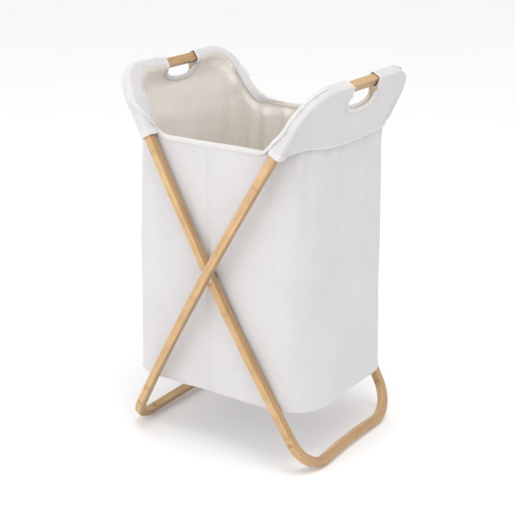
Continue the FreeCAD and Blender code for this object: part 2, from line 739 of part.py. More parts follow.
def build():
    strip_hole = "Dims.strip_depth + 2"
    blind_hole = "Dims.insert_length + 1.5"
    inner_layer = "(%s - Dims.cloth_thick - Dims.binding_proud)" % HALF_BAG
    outer_layer = "(%s + Dims.binding_proud + 0.05)" % HALF_BAG
    parts = [
        lower_bow(INNER, dim("screw_hole_radius"), INNER_LEG_INSIDE + " - 1", strip_hole),
        lower_bow(OUTER, dim("insert_radius"), OUTER_LEG_INSIDE + " - 1", blind_hole),
        upper_bow(INNER),
        upper_bow(OUTER),
        joint_dowels(INNER),
        joint_dowels(OUTER),
        pivot_screws(),
        ring_pair("screw_washers", dim("washer_radius"), "Dims.screw_hole_radius - 0.2",
                  WASHER_START, dim("washer_thick")),
        ring_pair("pivot_spacers", dim("spacer_radius"), "Dims.screw_hole_radius - 0.1",
                  "Dims.inner_half_width + Dims.spacer_gap", dim("washer_thick")),
        ring_pair("threaded_inserts", "Dims.insert_radius - 0.02", dim("screw_radius"),
                  OUTER_LEG_INSIDE, dim("insert_length")),
        sleeve(INNER, "left_sleeve"),
        sleeve(OUTER, "right_sleeve"),
        cuffs(INNER, "left_sleeve_cuffs"),
        cuffs(OUTER, "right_sleeve_cuffs"),
        bag_half(-1, "bag_left_half"),
        bag_half(1, "bag_right_half"),
        bag_bottom(),
        end_flap(-1, "left_flap"),
        end_flap(1, "right_flap"),
        rim_tape(-1, "front_rim_tape"),
        rim_tape(1, "back_rim_tape"),
        handle_binding(-1, "left_inner_binding", inner_layer, "Dims.cloth_thick + Dims.binding_proud"),
        handle_binding(1, "right_inner_binding", inner_layer, "Dims.cloth_thick + Dims.binding_proud"),
        handle_binding(-1, "left_outer_binding", outer_layer, "Dims.flap_thick + Dims.binding_proud"),
        handle_binding(1, "right_outer_binding", outer_layer, "Dims.flap_thick + Dims.binding_proud"),
        base_board(-1, "base_board_left"),
        base_board(1, "base_board_right"),
        board_hinge_tape(),
    ]
    doc.recompute()
    return parts


def check(parts):
    """Stop if any object failed or any part is empty or invalid."""
    for item in doc.Objects:
        if "Invalid" in item.State or "Error" in item.State:
            raise RuntimeError("%s failed: %s" % (item.Label, item.State))
        if item.TypeId == "Sketcher::SketchObject" and not item.FullyConstrained:
            raise RuntimeError("%s in %s is not fully constrained" % (item.Label, item.getParent()))
    for part in parts:
        if part.Shape.isNull() or not part.Shape.isValid():
            raise RuntimeError("%s has no valid shape" % part.Label)


def write(parts):
    os.makedirs("parts", exist_ok=True)
    for part in parts:
        shape = part.Shape
        shape.exportStep(os.path.join("parts", part.Label + ".step"))
        box = shape.BoundBox
        print("%-22s solids %d  volume %9.0f  x %7.1f %7.1f  y %7.1f %7.1f  z %7.1f %7.1f" % (
            part.Label, len(shape.Solids), shape.Volume,
            box.XMin, box.XMax, box.YMin, box.YMax, box.ZMin, box.ZMax))


PARTS = build()
check(PARTS)
write(PARTS)
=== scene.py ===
"""Looks of the folding laundry hamper: bent bamboo loops, hardware and a sewn canvas bag."""

import json
import math

import bpy
import numpy as np
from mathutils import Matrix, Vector


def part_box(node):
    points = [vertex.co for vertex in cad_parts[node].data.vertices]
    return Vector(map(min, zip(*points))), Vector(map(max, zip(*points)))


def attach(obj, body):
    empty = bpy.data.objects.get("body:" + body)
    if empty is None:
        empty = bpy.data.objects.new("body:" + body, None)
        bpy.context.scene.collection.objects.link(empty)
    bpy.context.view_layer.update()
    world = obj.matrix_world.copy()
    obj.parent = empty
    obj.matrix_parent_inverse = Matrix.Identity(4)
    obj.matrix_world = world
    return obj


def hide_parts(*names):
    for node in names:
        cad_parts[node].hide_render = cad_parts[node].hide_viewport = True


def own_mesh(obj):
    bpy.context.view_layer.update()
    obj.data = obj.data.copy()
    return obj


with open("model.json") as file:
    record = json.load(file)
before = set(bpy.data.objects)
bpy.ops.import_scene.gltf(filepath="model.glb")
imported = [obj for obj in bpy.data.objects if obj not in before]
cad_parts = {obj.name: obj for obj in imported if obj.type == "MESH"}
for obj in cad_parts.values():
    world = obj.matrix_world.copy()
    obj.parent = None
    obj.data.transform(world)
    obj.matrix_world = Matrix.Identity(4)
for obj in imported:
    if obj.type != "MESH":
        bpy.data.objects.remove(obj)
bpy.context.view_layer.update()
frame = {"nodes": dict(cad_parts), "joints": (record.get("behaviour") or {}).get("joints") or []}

# ---------------------------------------------------------------- the frame, in millimetres

MM = 0.001
LEAN = math.radians(30)
STRIP_HALF = 7.9
STRIP_HALF_THICK = 7.0
BAR_LEVEL = 364.4
CORNER_RADIUS = 60.1
CORNER_LEVEL = BAR_LEVEL - CORNER_RADIUS
MARK_LEVEL = 262.0
PIVOT = np.array([0.0, 0.0, next(j for j in frame["joints"] if j["name"] == "fold")["pos_m"][2] * 1000])
UP = np.array([0.0, 0.0, 1.0])
BACK = np.array([0.0, 1.0, 0.0])


def smooth(start, end, x):
    t = np.clip((np.asarray(x, float) - start) / (end - start), 0, 1)
    return t * t * (3 - 2 * t)


def unit(v):
    return v / np.maximum(np.linalg.norm(v, axis=-1, keepdims=True), 1e-9)


class Loop:
    """Centre line of one bent loop. Distances along it start at the middle of the top bar."""

    def __init__(self, side, bow_node, leg_radius, body, exit_level, hole):
        self.side = side
        self.hole_half, self.hole_drop, self.hole_power, self.hole_skew = hole
        self.body = body
        self.along = np.array([side * math.sin(LEAN), 0, math.cos(LEAN)])
        self.inward = np.array([-side * math.cos(LEAN), 0, math.sin(LEAN)])
        self.leg_radius = leg_radius
        self.leg_centre = leg_radius - (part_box(bow_node)[1][1] / MM - STRIP_HALF)
        rise = math.sqrt((leg_radius - CORNER_RADIUS) ** 2 - CORNER_LEVEL**2)
        self.bar_half = rise - self.leg_centre
        self.corner_end = math.asin(CORNER_LEVEL / (leg_radius - CORNER_RADIUS))
        self.corner_stop = self.bar_half + CORNER_RADIUS * (math.pi / 2 - self.corner_end)
        self.exit = self.distance_to(exit_level)
        self.mark = self.distance_to(MARK_LEVEL)

    def distance_to(self, level):
        """Distance from the bar's middle to the place on the leg at that level."""
        return self.corner_stop + self.leg_radius * (self.corner_end - math.asin(level / self.leg_radius))

    def at(self, s):
        """Centre points and in-plane outward directions at distances s from the bar's middle."""
        s = np.atleast_1d(np.asarray(s, float))
        far = np.abs(s)
        turn = math.pi / 2 - np.clip((far - self.bar_half) / CORNER_RADIUS, 0, None)
        leg = self.corner_end - (far - self.corner_stop) / self.leg_radius
        on_bar = far <= self.bar_half
        on_leg = far > self.corner_stop
        angle = np.where(on_bar, math.pi / 2, np.where(on_leg, leg, turn))
        across = self.bar_half + CORNER_RADIUS * np.cos(angle)
        level = CORNER_LEVEL + CORNER_RADIUS * np.sin(angle)
        across = np.where(on_leg, self.leg_radius * np.cos(angle) - self.leg_centre, across)
        level = np.where(on_leg, self.leg_radius * np.sin(angle), level)
        across = np.where(on_bar, far, across)
        sign = np.where(s < 0, -1.0, 1.0)
        centre = PIVOT + level[:, None] * self.along + (sign * across)[:, None] * BACK
        outward = np.sin(angle)[:, None] * self.along + (sign * np.cos(angle))[:, None] * BACK
        return centre, outward

    def point(self, s, w, m):
        """Points at w outward in the loop's plane and m towards the inside of the bag."""
        centre, outward = self.at(s)
        w = np.broadcast_to(w, centre.shape[:1])
        m = np.broadcast_to(m, centre.shape[:1])
        return centre + w[:, None] * outward + m[:, None] * self.inward

    def climb(self, end, height):
        """Distance from the bar's middle to a place that far above the mark; end is -1 front, 1 back."""
        return end * (self.mark - np.asarray(height, float))


LEFT = Loop(-1, "inner_lower_bow", 3649.2, "inner_frame", 254.0, (44.0, 24.0, 2.2, 6.0))
RIGHT = Loop(1, "outer_lower_bow", 2544.3, "outer_frame", 261.0, (46.0, 29.0, 2.9, -6.0))

# ---------------------------------------------------------------- mesh helpers


def ripple(points, size, seed, stretch=(1, 1, 1)):
    """Smooth repeatable unevenness between about -1 and 1, with bumps of that size."""
    draw = np.random.default_rng(seed)
    scaled = np.asarray(points, float) / np.array(stretch, float)
    total = np.zeros(scaled.shape[:-1])
    for _ in range(7):
        direction = unit(draw.normal(size=3))
        wave = scaled @ direction * (2 * math.pi / size) * draw.uniform(0.6, 1.5)
        total += np.sin(wave + draw.uniform(0, 6.28))
    return total / 4


def spline(points, step):
    """Even points on a smooth curve through the given ones, all columns alike."""
    points = np.asarray(points, float)
    padded = np.vstack([2 * points[0] - points[1], points, 2 * points[-1] - points[-2]])
    out = []
    for i in range(1, len(padded) - 2):
        a, b, c, d = padded[i - 1 : i + 3]
        for t in np.linspace(0, 1, 12, endpoint=False):
            out.append(0.5 * (2 * b + (c - a) * t + (2 * a - 5 * b + 4 * c - d) * t**2
                              + (3 * b - a - 3 * c + d) * t**3))
    out.append(points[-1])
    return even(np.array(out), step)


def all_along(path, direction):
    """The same direction at every point of a path."""
    return np.tile(direction, (len(path), 1))


def distances(path):
    """Distance of each point from the path's first one."""
    return np.concatenate([[0], np.cumsum(np.linalg.norm(np.diff(path, axis=0), axis=1))])


def even(points, step):
    """The same polyline with points about a step apart; distance is taken over the first three columns."""
    distance = distances(points[:, :3])
    wanted = np.linspace(0, distance[-1], max(2, int(round(distance[-1] / step)) + 1))
    return np.array([np.interp(wanted, distance, points[:, k]) for k in range(points.shape[1])]).T


def along_line(line, shares):
    """Points at shares 0 to 1 of a line whose points are evenly spaced."""
    return np.array([np.interp(shares, np.linspace(0, 1, len(line)), line[:, k]) for k in range(3)]).T


def grid_quads(rows, columns, wrap=False):
    """Faces of a grid of points; wrap joins the last column to the first."""
    quads = []
    for r in range(rows - 1):
        for c in range(columns if wrap else columns - 1):
            n = (c + 1) % columns
            quads.append((r * columns + c, r * columns + n, (r + 1) * columns + n, (r + 1) * columns + c))
    return quads


def vertex_normals(points, quads):
    q = np.array(quads)
    face = np.cross(points[q[:, 2]] - points[q[:, 0]], points[q[:, 3]] - points[q[:, 1]])
    normals = np.zeros_like(points)
    for k in range(4):
        np.add.at(normals, q[:, k], face)
    return unit(normals)


def thicken(points, quads, thick):
    """Closed solid of even thickness round a middle surface."""
    normals = vertex_normals(points, quads)
    count = len(points)
    used = {(q[k], q[(k + 1) % 4]) for q in quads for k in range(4)}
    sides = [(b, a, a + count, b + count) for a, b in used if (b, a) not in used]
    under = [tuple(v + count for v in reversed(q)) for q in quads]
    solid = np.vstack([points + normals * thick / 2, points - normals * thick / 2])
    return solid, quads + under + sorted(sides)


def make(name, points, faces, material, body, uv=None, sharp=55):
    """One mesh piece from millimetre points, riding on a CAD body."""
    mesh = bpy.data.meshes.new(name)
    mesh.from_pydata((np.asarray(points) * MM).tolist(), [], faces)
    mesh.validate()
    mesh.update()
    if uv is not None:
        layer = mesh.uv_layers.new(name="cloth")
        index = np.empty(len(mesh.loops), int)
        mesh.loops.foreach_get("vertex_index", index)
        layer.data.foreach_set("uv", (np.asarray(uv) * MM)[index % len(uv)].astype(np.float32).ravel())
    mesh.polygons.foreach_set("use_smooth", [True] * len(mesh.polygons))
    mesh.set_sharp_from_angle(angle=math.radians(sharp))
    mesh.materials.append(material)
    piece = bpy.data.objects.new(name, mesh)
    bpy.context.scene.collection.objects.link(piece)
    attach(piece, body)
    return piece


def grid_uv(grid):
    """Distances along both directions of a grid of points, for the weave."""
    rows, columns = grid.shape[:2]
    across = np.zeros((rows, columns))
    across[:, 1:] = np.cumsum(np.linalg.norm(np.diff(grid, axis=1), axis=2).mean(0))[None, :]
    up = np.zeros((rows, columns))
    up[1:] = np.cumsum(np.linalg.norm(np.diff(grid, axis=0), axis=2), axis=0)
    return np.stack([across, up], axis=2).reshape(-1, 2)


def cloth(name, grid, thick, body, inside=None, lip_rows=0, paint=None):
    """A canvas piece from a grid of middle-surface points; the face that looks at the point inside gets the
    brighter, warmer lining copy (painted light for light bouncing inside the bag) and its last lip_rows rows
    the darker lip copy (painted shade).
    """
    rows, columns = grid.shape[:2]
    quads = grid_quads(rows, columns)
    points, faces = thicken(grid.reshape(-1, 3), quads, thick)
    piece = make(name, points, faces, paint or CANVAS, body, grid_uv(grid))
    if inside is not None:
        piece.data.materials.append(LINING_PAINTED_LIGHT)
        piece.data.materials.append(LIP_PAINTED_SHADE)
        flat = grid.reshape(-1, 3)
        facing = (vertex_normals(flat, quads) * (flat - inside)).sum(1).mean()
        first = 0 if facing < 0 else len(quads)
        lip = (rows - 1 - lip_rows) * (columns - 1)
        for i in range(len(quads)):
            piece.data.polygons[first + i].material_index = 1 if i < lip else 2
    return piece


def shells(grids, thick):
    """Points, faces and weave coordinates of closed rings of cloth, from their middle surfaces."""
    points, faces, uvs = [], [], []
    for grid in grids:
        solid, quads = thicken(grid.reshape(-1, 3), grid_quads(*grid.shape[:2], True), thick)
        first = sum(len(part) for part in points)
        points.append(solid)
        faces += [tuple(first + v for v in quad) for quad in quads]
        uvs += [grid_uv(grid), grid_uv(grid)]
    return np.vstack(points), faces, np.vstack(uvs)


RIBBON_SIDES = 12


def ribbon(path, across, normal, half_width, half_thick, closed=False):
    """Flat rounded band along a path: points and faces."""
    path, across, normal = (np.asarray(a, float) for a in (path, across, normal))
    angles = np.linspace(0, 2 * math.pi, RIBBON_SIDES, endpoint=False)
    crisp = 0.55 if half_thick < 0.6 * np.mean(half_width) else 1.0
    flat = np.sign(np.cos(angles)) * np.abs(np.cos(angles)) ** (0.6 * crisp)
    thin = np.sign(np.sin(angles)) * np.abs(np.sin(angles)) ** (0.7 * crisp)
    half_width = np.broadcast_to(half_width, len(path))
    ring = (path[:, None] + across[:, None] * flat[None, :, None] * half_width[:, None, None]
            + normal[:, None] * thin[None, :, None] * half_thick)
    rows, columns = ring.shape[:2]
    faces = grid_quads(rows, columns, True)
    if closed:
        last = (rows - 1) * columns
        faces += [(last + c, last + (c + 1) % columns, (c + 1) % columns, c) for c in range(columns)]
    else:
        faces += [tuple(reversed(range(columns))), tuple((rows - 1) * columns + c for c in range(columns))]
    points = ring.reshape(-1, 3)
    first = points[[face[0] for face in faces]]
    second = points[[face[1] for face in faces]]
    last = points[[face[-1] for face in faces]]
    if (np.cross(second - first, last - first) * (first - points.mean(0))).sum() < 0:
        faces = [tuple(reversed(face)) for face in faces]
    return points, faces


def ribbon_uv(path, half_width):
    """Weave coordinates of a ribbon's points."""
    angles = np.linspace(0, 2 * math.pi, RIBBON_SIDES, endpoint=False)
    shape = (len(path), RIBBON_SIDES)
    across = np.broadcast_to(half_width * np.cos(angles), shape)
    along = np.broadcast_to(distances(path)[:, None], shape)
    return np.stack([across, along], axis=2).reshape(-1, 2)


def tape(name, path, normal, half_width, half_thick, body, closed=False, across=None):
    """A binding tape laid along a path with its face towards normal."""
    if across is None:
        along = np.gradient(path, axis=0)
        across = unit(np.cross(along, normal))
        normal = unit(np.cross(across, along))
    length = distances(path)
    wave = 1 + 0.03 * np.sin(length / 7.0) + 0.03 * np.sin(length / 17.0 + 1)
    points, faces = ribbon(path, across, normal, half_width * wave, half_thick, closed)
    return make(name, points, faces, TAPE, body, ribbon_uv(path, half_width), 70)


def stitches(name, lines, body, pitch=4.2, length=2.9, radius=0.42):
    """Rows of thread stitches. Each line is (points, normals), a little sunk in the cloth."""
    points, faces = [], []
    ring = np.linspace(0, 2 * math.pi, 5, endpoint=False)
    for path, normal in lines:
        row = even(np.hstack([path, normal]), pitch / 3)[:, :6]
        for i in range(1, len(row) - 2, 3):
            middle, face = row[i, :3], unit(row[i, 3:])
            along = unit(row[i + 1, :3] - row[i - 1, :3])
            side = unit(np.cross(along, face))
            first = len(points)
            for where, wide in ((-0.5, 0.35), (-0.3, 1), (0.3, 1), (0.5, 0.35)):
                for a in ring:
                    points.append(middle + along * where * length
                                  + radius * wide * (math.cos(a) * side + 0.8 * math.sin(a) * face))
            faces += [tuple(first + v for v in quad) for quad in grid_quads(4, 5, True)]
            faces.append(tuple(first + c for c in reversed(range(5))))
            faces.append(tuple(first + 15 + c for c in range(5)))
    return make(name, points, faces, THREAD, body, None, 80)


# ---------------------------------------------------------------- materials


class Nodes:
    """Short way to wire a material's node tree."""

    def __init__(self, name):
        self.material = bpy.data.materials.new(name)
        self.material.use_nodes = True
        self.tree = self.material.node_tree
        self.tree.nodes.clear()
        self.out = self.tree.nodes.new("ShaderNodeOutputMaterial")
        self.shader = self.tree.nodes.new("ShaderNodeBsdfPrincipled")
        self.tree.links.new(self.shader.outputs[0], self.out.inputs[0])

    def put(self, socket, value):
        if isinstance(value, bpy.types.NodeSocket):
            self.tree.links.new(value, socket)
        else:
            socket.default_value = value

    def set(self, **values):
        for key, value in values.items():
            self.put(self.shader.inputs[key.replace("_", " ")], value)

    def new(self, kind, inputs):
        """A node of that kind with its inputs, by name or number, set or linked."""
        node = self.tree.nodes.new(kind)
        for key, value in inputs.items():
            self.put(node.inputs[key], value)
        return node

    def math(self, operation, *values):
        node = self.new("ShaderNodeMath", dict(enumerate(values)))
        node.operation = operation
        return node.outputs[0]

    def add(self, a, b):
        return self.math("ADD", a, b)

    def minus(self, a, b):
        return self.math("SUBTRACT", a, b)

    def times(self, a, b):
        return self.math("MULTIPLY", a, b)

    def coordinates(self, kind="Object"):
        return self.tree.nodes.new("ShaderNodeTexCoord").outputs[kind]

    def split(self, vector):
        return self.new("ShaderNodeSeparateXYZ", {0: vector}).outputs

    def join(self, x, y, z=0.0):
        return self.new("ShaderNodeCombineXYZ", {0: x, 1: y, 2: z}).outputs[0]

    def noise(self, vector, scale, detail=3.0, roughness=0.55):
        inputs = {"Vector": vector, "Scale": scale, "Detail": detail, "Roughness": roughness}
        return self.new("ShaderNodeTexNoise", inputs).outputs["Fac"]

    def between(self, value, low, high, start=0.0, end=1.0):
        """Start to end as value goes from low to high, smoothly."""
        node = self.new("ShaderNodeMapRange", dict(enumerate((value, low, high, start, end))))
        node.interpolation_type = "SMOOTHSTEP"
        return node.outputs[0]

    def mix(self, share, a, b):
        node = self.tree.nodes.new("ShaderNodeMix")
        node.data_type = "RGBA"
        for key, value in (("Factor", share), (6, a), (7, b)):
            self.put(node.inputs[key], value)
        return node.outputs[2]

    def bump(self, height, strength, distance):
        inputs = {"Height": height, "Strength": strength, "Distance": distance}
        return self.new("ShaderNodeBump", inputs).outputs[0]


def rgb(r, g, b):
    return (r, g, b, 1.0)


def woven(name, light, dark, thread, bump, rough):
    """Plain-weave cloth with slubs, a little wear and uneven bleaching."""
    n = Nodes(name)
    flat = n.coordinates("UV")
    u, v, _ = n.split(flat)
    place = n.coordinates("Object")
    pitch = 2 * math.pi / thread
    warp = n.math("SINE", n.times(u, pitch))
    weft = n.math("SINE", n.times(v, pitch))
    weave = n.math("MULTIPLY_ADD", n.times(warp, weft), 0.5, 0.5)
    slub_up = n.noise(n.join(n.times(u, 900.0), n.times(v, 45.0)), 1.0, 2.0)
    slub_across = n.noise(n.join(n.times(u, 45.0), n.times(v, 900.0)), 1.0, 2.0)
    slub = n.times(n.add(slub_up, slub_across), 0.5)
    cloud = n.noise(place, 9.0, 4.0, 0.6)
    fleck = n.noise(place, 160.0, 3.0, 0.6)
    tone = n.add(n.between(slub, 0.35, 0.65, -0.10, 0.10), n.between(cloud, 0.3, 0.7, -0.16, 0.16))
    tone = n.add(n.add(tone, n.between(fleck, 0.35, 0.65, -0.06, 0.06)), 0.5)
    tone = n.add(tone, n.times(weave, 0.08))
    height = n.add(n.times(weave, 0.35), n.times(slub, 1.2))
    height = n.add(height, n.times(n.noise(place, 55.0, 4.0, 0.6), 1.3))
    n.set(
        Base_Color=n.mix(tone, dark, light),
        Roughness=n.between(slub, 0.3, 0.7, rough - 0.06, rough + 0.06),
        Normal=n.bump(height, bump, 0.0012),
        Specular_IOR_Level=0.25,
        Sheen_Weight=0.15,
        Sheen_Roughness=0.5,
    )
    return n.material


def loop_coordinates(n, loop, leg_half):
    """Distances along, across and through a bent loop, in metres, from object coordinates."""
    x, y, z = n.split(n.coordinates("Object"))
    rise = n.minus(z, PIVOT[2] * MM)
    along = n.math("ABSOLUTE", n.add(n.times(x, loop.side * math.sin(LEAN)), n.times(rise, math.cos(LEAN))))
    through = n.minus(n.times(rise, math.sin(LEAN)), n.times(x, loop.side * math.cos(LEAN)))
    far = n.math("ABSOLUTE", y)
    bow = n.times(n.times(along, along), 0.5 / (loop.leg_radius * MM))
    centre = n.minus((leg_half - CORNER_RADIUS) * MM, bow)
    qx = n.minus(far, centre)
    qy = n.minus(along, CORNER_LEVEL * MM)
    px, py = n.math("MAXIMUM", qx, 0.0), n.math("MAXIMUM", qy, 0.0)
    radial = n.math("SQRT", n.add(n.times(px, px), n.times(py, py)))
    across = n.minus(radial, CORNER_RADIUS * MM)
    bend = n.times(n.math("ARCTAN2", py, n.math("MAXIMUM", px, 1e-5)), CORNER_RADIUS * MM)
    bar = n.math("MAXIMUM", n.times(qx, -1.0), 0.0)
    length = n.add(n.add(n.math("MINIMUM", along, CORNER_LEVEL * MM), bend), bar)
    half = n.times(n.math("SIGN", y), 0.37)
    upper = n.times(n.math("SIGN", rise), 1.3)
    return n.add(n.add(length, half), upper), across, through


# Bamboo, in metres: distance between the node bands and thickness of a ply
NODE_SPACING = 0.23
PLY_THICK = 0.0040


def scatter(n, value, pace, gain):
    """A repeatable fraction from 0 to 1 for each value."""
    return n.math("FRACT", n.times(n.math("SINE", n.times(value, pace)), gain))


def bamboo(name, loop, leg_half):
    """Bent laminated bamboo: plies stacked across the bend, fine fibres, node bands, and painted shade on
    the faces towards and away from the bag.
    """
    n = Nodes(name)
    length, across, through = loop_coordinates(n, loop, leg_half)
    ply = n.math("DIVIDE", n.add(across, 2 * STRIP_HALF * MM), PLY_THICK)
    layer = n.math("FLOOR", ply)
    inside = n.math("ABSOLUTE", n.minus(n.math("FRACT", ply), 0.5))
    glue = n.between(inside, 0.40, 0.48, 0.0, 1.0)
    fine = n.join(n.times(length, 22.0), n.times(across, 2300.0), n.times(through, 2300.0))
    fibre = n.noise(fine, 1.0, 3.0, 0.6)
    coarse = n.join(n.times(length, 7.0), n.times(across, 420.0), n.times(through, 420.0))
    streak = n.noise(coarse, 1.0, 2.0)
    patch = n.noise(n.coordinates("Object"), 22.0, 3.0)
    offset = n.times(scatter(n, n.add(layer, 3.0 + loop.side), 12.9898, 43.7585), NODE_SPACING)
    wobble = n.times(n.minus(streak, 0.5), 0.004)
    shifted = n.add(n.add(length, 5.0), n.add(offset, wobble))
    cycle = n.math("FRACT", n.math("DIVIDE", shifted, NODE_SPACING))
    off_node = n.math("ABSOLUTE", n.minus(cycle, 0.5))
    node_line = n.between(off_node, 0.003, 0.012, 1.0, 0.0)
    node_glow = n.between(off_node, 0.0, 0.05, 1.0, 0.0)
    # Painted shade: the strip's faces towards and away from the bag are darkened, as they lie out of the
    # light
    shaded_faces = n.between(n.math("ABSOLUTE", through), 0.0061, 0.0068)
    layer_tone = scatter(n, n.add(layer, 7.3), 78.233, 13.13)
    tone = n.add(n.between(fibre, 0.3, 0.7, -0.22, 0.22), n.between(streak, 0.3, 0.7, -0.2, 0.2))
    tone = n.add(tone, n.times(layer_tone, 0.28))
    tone = n.add(tone, n.between(patch, 0.3, 0.7, 0.20, 0.46))
    colour = n.mix(tone, rgb(0.43, 0.245, 0.10), rgb(0.70, 0.47, 0.245))
    colour = n.mix(n.times(node_glow, 0.34), colour, rgb(0.42, 0.25, 0.115))
    colour = n.mix(n.times(node_line, 0.22), colour, rgb(0.26, 0.145, 0.065))
    colour = n.mix(n.times(shaded_faces, 0.42), colour, rgb(0.30, 0.175, 0.08))
    colour = n.mix(n.times(glue, 0.62), colour, rgb(0.24, 0.135, 0.062))
    height = n.minus(n.times(fibre, 0.6), n.times(glue, 0.5))
    height = n.minus(height, n.times(node_line, 0.3))
    n.set(
        Base_Color=colour,
        Roughness=n.between(streak, 0.3, 0.7, 0.36, 0.52),
        Normal=n.bump(height, 0.5, 0.0004),
        Coat_Weight=0.12,
        Coat_Roughness=0.35,
    )
    return n.material


def metal(name, colour, worn, rough):
    """Turned metal with fine scratches and duller patches."""
    n = Nodes(name)
    place = n.coordinates("Object")
    scratch = n.noise(place, 900.0, 3.0)
    cloud = n.noise(place, 60.0, 3.0)
    n.set(
        Base_Color=n.mix(n.between(cloud, 0.35, 0.65), colour, worn),
        Metallic=1.0,
        Roughness=n.between(scratch, 0.3, 0.7, rough - 0.08, rough + 0.12),
        Normal=n.bump(scratch, 0.25, 0.0002),
    )
    return n.material


def plain_solid(name, light, dark, scale, rough, stretch=(1.0, 1.0, 1.0)):
    """Matt solid with grain-like variation: nylon, hardboard or birch."""
    n = Nodes(name)
    x, y, z = n.split(n.coordinates("Object"))
    place = n.join(*(n.times(a, k) for a, k in zip((x, y, z), stretch)))
    grain = n.noise(place, scale, 5.0, 0.65)
    n.set(
        Base_Color=n.mix(n.between(grain, 0.3, 0.7), dark, light),
        Roughness=n.between(grain, 0.3, 0.7, rough - 0.08, rough + 0.08),
        Normal=n.bump(grain, 0.3, 0.0004),
    )
    return n.material


CANVAS = woven("canvas", rgb(0.695, 0.68, 0.683), rgb(0.605, 0.59, 0.594), 0.0011, 0.55, 0.88)
# The inside is the same canvas as the outside; this brighter, warmer copy is painted light, standing in for
# light bouncing round inside the bag
LINING_PAINTED_LIGHT = woven("canvas_lining_painted_light", rgb(0.93, 0.885, 0.835), rgb(0.85, 0.80, 0.74), 0.0011, 0.55, 0.88)
TAPE = woven("binding_tape", rgb(0.75, 0.735, 0.73), rgb(0.67, 0.655, 0.645), 0.0009, 0.6, 0.82)
# Darker copy of the lining for where it rolls onto the sleeve: painted shade, so the lip, which faces up
# into the light, reads as dark as the wall below
LIP_PAINTED_SHADE = woven("canvas_lip_painted_shade", rgb(0.68, 0.64, 0.60), rgb(0.60, 0.56, 0.52), 0.0011, 0.55, 0.88)
# Tan colour of the facing inside the hand hole: painted shade with a painted warm reflection of the bamboo
# bar, on white canvas
FACING_PAINTED_SHADE = woven("hole_facing", rgb(0.66, 0.50, 0.34), rgb(0.54, 0.39, 0.25), 0.0009, 0.5, 0.9)
THREAD = plain_solid("thread", rgb(0.84, 0.82, 0.80), rgb(0.66, 0.63, 0.60), 1500.0, 0.7)
BAMBOO_LEFT = bamboo("bamboo_inner", LEFT, 162.8)
BAMBOO_RIGHT = bamboo("bamboo_outer", RIGHT, 180.2)
PAINT = {
    "inner_lower_bow": BAMBOO_LEFT,
    "inner_upper_bow": BAMBOO_LEFT,
    "outer_lower_bow": BAMBOO_RIGHT,
    "outer_upper_bow": BAMBOO_RIGHT,
}
for wood in ("inner_joint_dowels", "outer_joint_dowels"):
    pale, brown = rgb(0.62, 0.47, 0.29), rgb(0.48, 0.34, 0.19)
    PAINT[wood] = plain_solid(wood, pale, brown, 90.0, 0.6, (4.0, 4.0, 0.5))
for steel in ("pivot_screws", "screw_washers"):
    PAINT[steel] = metal(steel, rgb(0.56, 0.56, 0.57), rgb(0.42, 0.42, 0.44), 0.34)
PAINT["threaded_inserts"] = metal("brass", rgb(0.70, 0.52, 0.24), rgb(0.50, 0.35, 0.15), 0.32)
PAINT["pivot_spacers"] = plain_solid("nylon", rgb(0.80, 0.77, 0.70), rgb(0.66, 0.63, 0.56), 200.0, 0.5)
for leaf in ("base_board_left", "base_board_right"):
    PAINT[leaf] = plain_solid(leaf, rgb(0.36, 0.26, 0.17), rgb(0.24, 0.165, 0.10), 140.0, 0.75)
hinge_light, hinge_dark = rgb(0.72, 0.69, 0.65), rgb(0.55, 0.52, 0.48)
PAINT["board_hinge_tape"] = plain_solid("hinge_tape", hinge_light, hinge_dark, 500.0, 0.85)
for node, material in PAINT.items():
    mesh = frame["nodes"][node].data
    mesh.materials.clear()
    mesh.materials.append(material)

# ---------------------------------------------------------------- bag shape

SEAM_X = -14.0
BAG_FLOOR = 107.2
WALL_FOOT = 108
RIM_FRONT = 547.8
RIM_BACK = 556.6
RIM_LEVEL = 550.0
CLOTH = 1.5
STRAIGHT = 60.0
BAG_MIDDLE = np.array([0, 0, 350.0])
SLEEVE_FACE = STRIP_HALF_THICK + 1.9

# Half sizes of the tapes
RIM_TAPE = (4.6, 2.0)
HOOD_TAPE = (3.4, 1.3)
WELT_HALF = 1.7

# Half the bag's length, and how far its middle lies to the left, by height
HEIGHTS = (WALL_FOOT, 125, 170, 250, 350, 440, 500, 540, 580, 640)
END_HALVES = (187.6, 187.2, 185.5, 183.6, 182.4, 180.2, 178.3, 177.3, 179.4, 183.9)
END_SHIFTS = (-9.3, -9.4, -9.6, -9.5, -8.2, -6.7, -5.3, -4.4, -3.4, -1.6)


def flatten_with_bag(piece):
    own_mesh(piece)


def bag_half_length(z):
    return np.interp(z, HEIGHTS, END_HALVES)


def bag_half_depth(z):
    return 145.0 + 1.6 * np.sin(np.pi * np.clip((z - WALL_FOOT) / 445, 0, 1)) - 1.4 * smooth(300, 560, z)


def bag_corner(z):
    return 67.0 - 5.0 * smooth(110, 560, z)


def bag_shift(z):
    return np.interp(z, HEIGHTS, END_SHIFTS)


END_FLAT = 80.0
CORNER = 62.0
ARC_END = END_FLAT + CORNER * math.pi / 2


def flat_length(side):
    return 184.0 - CORNER - side * SEAM_X


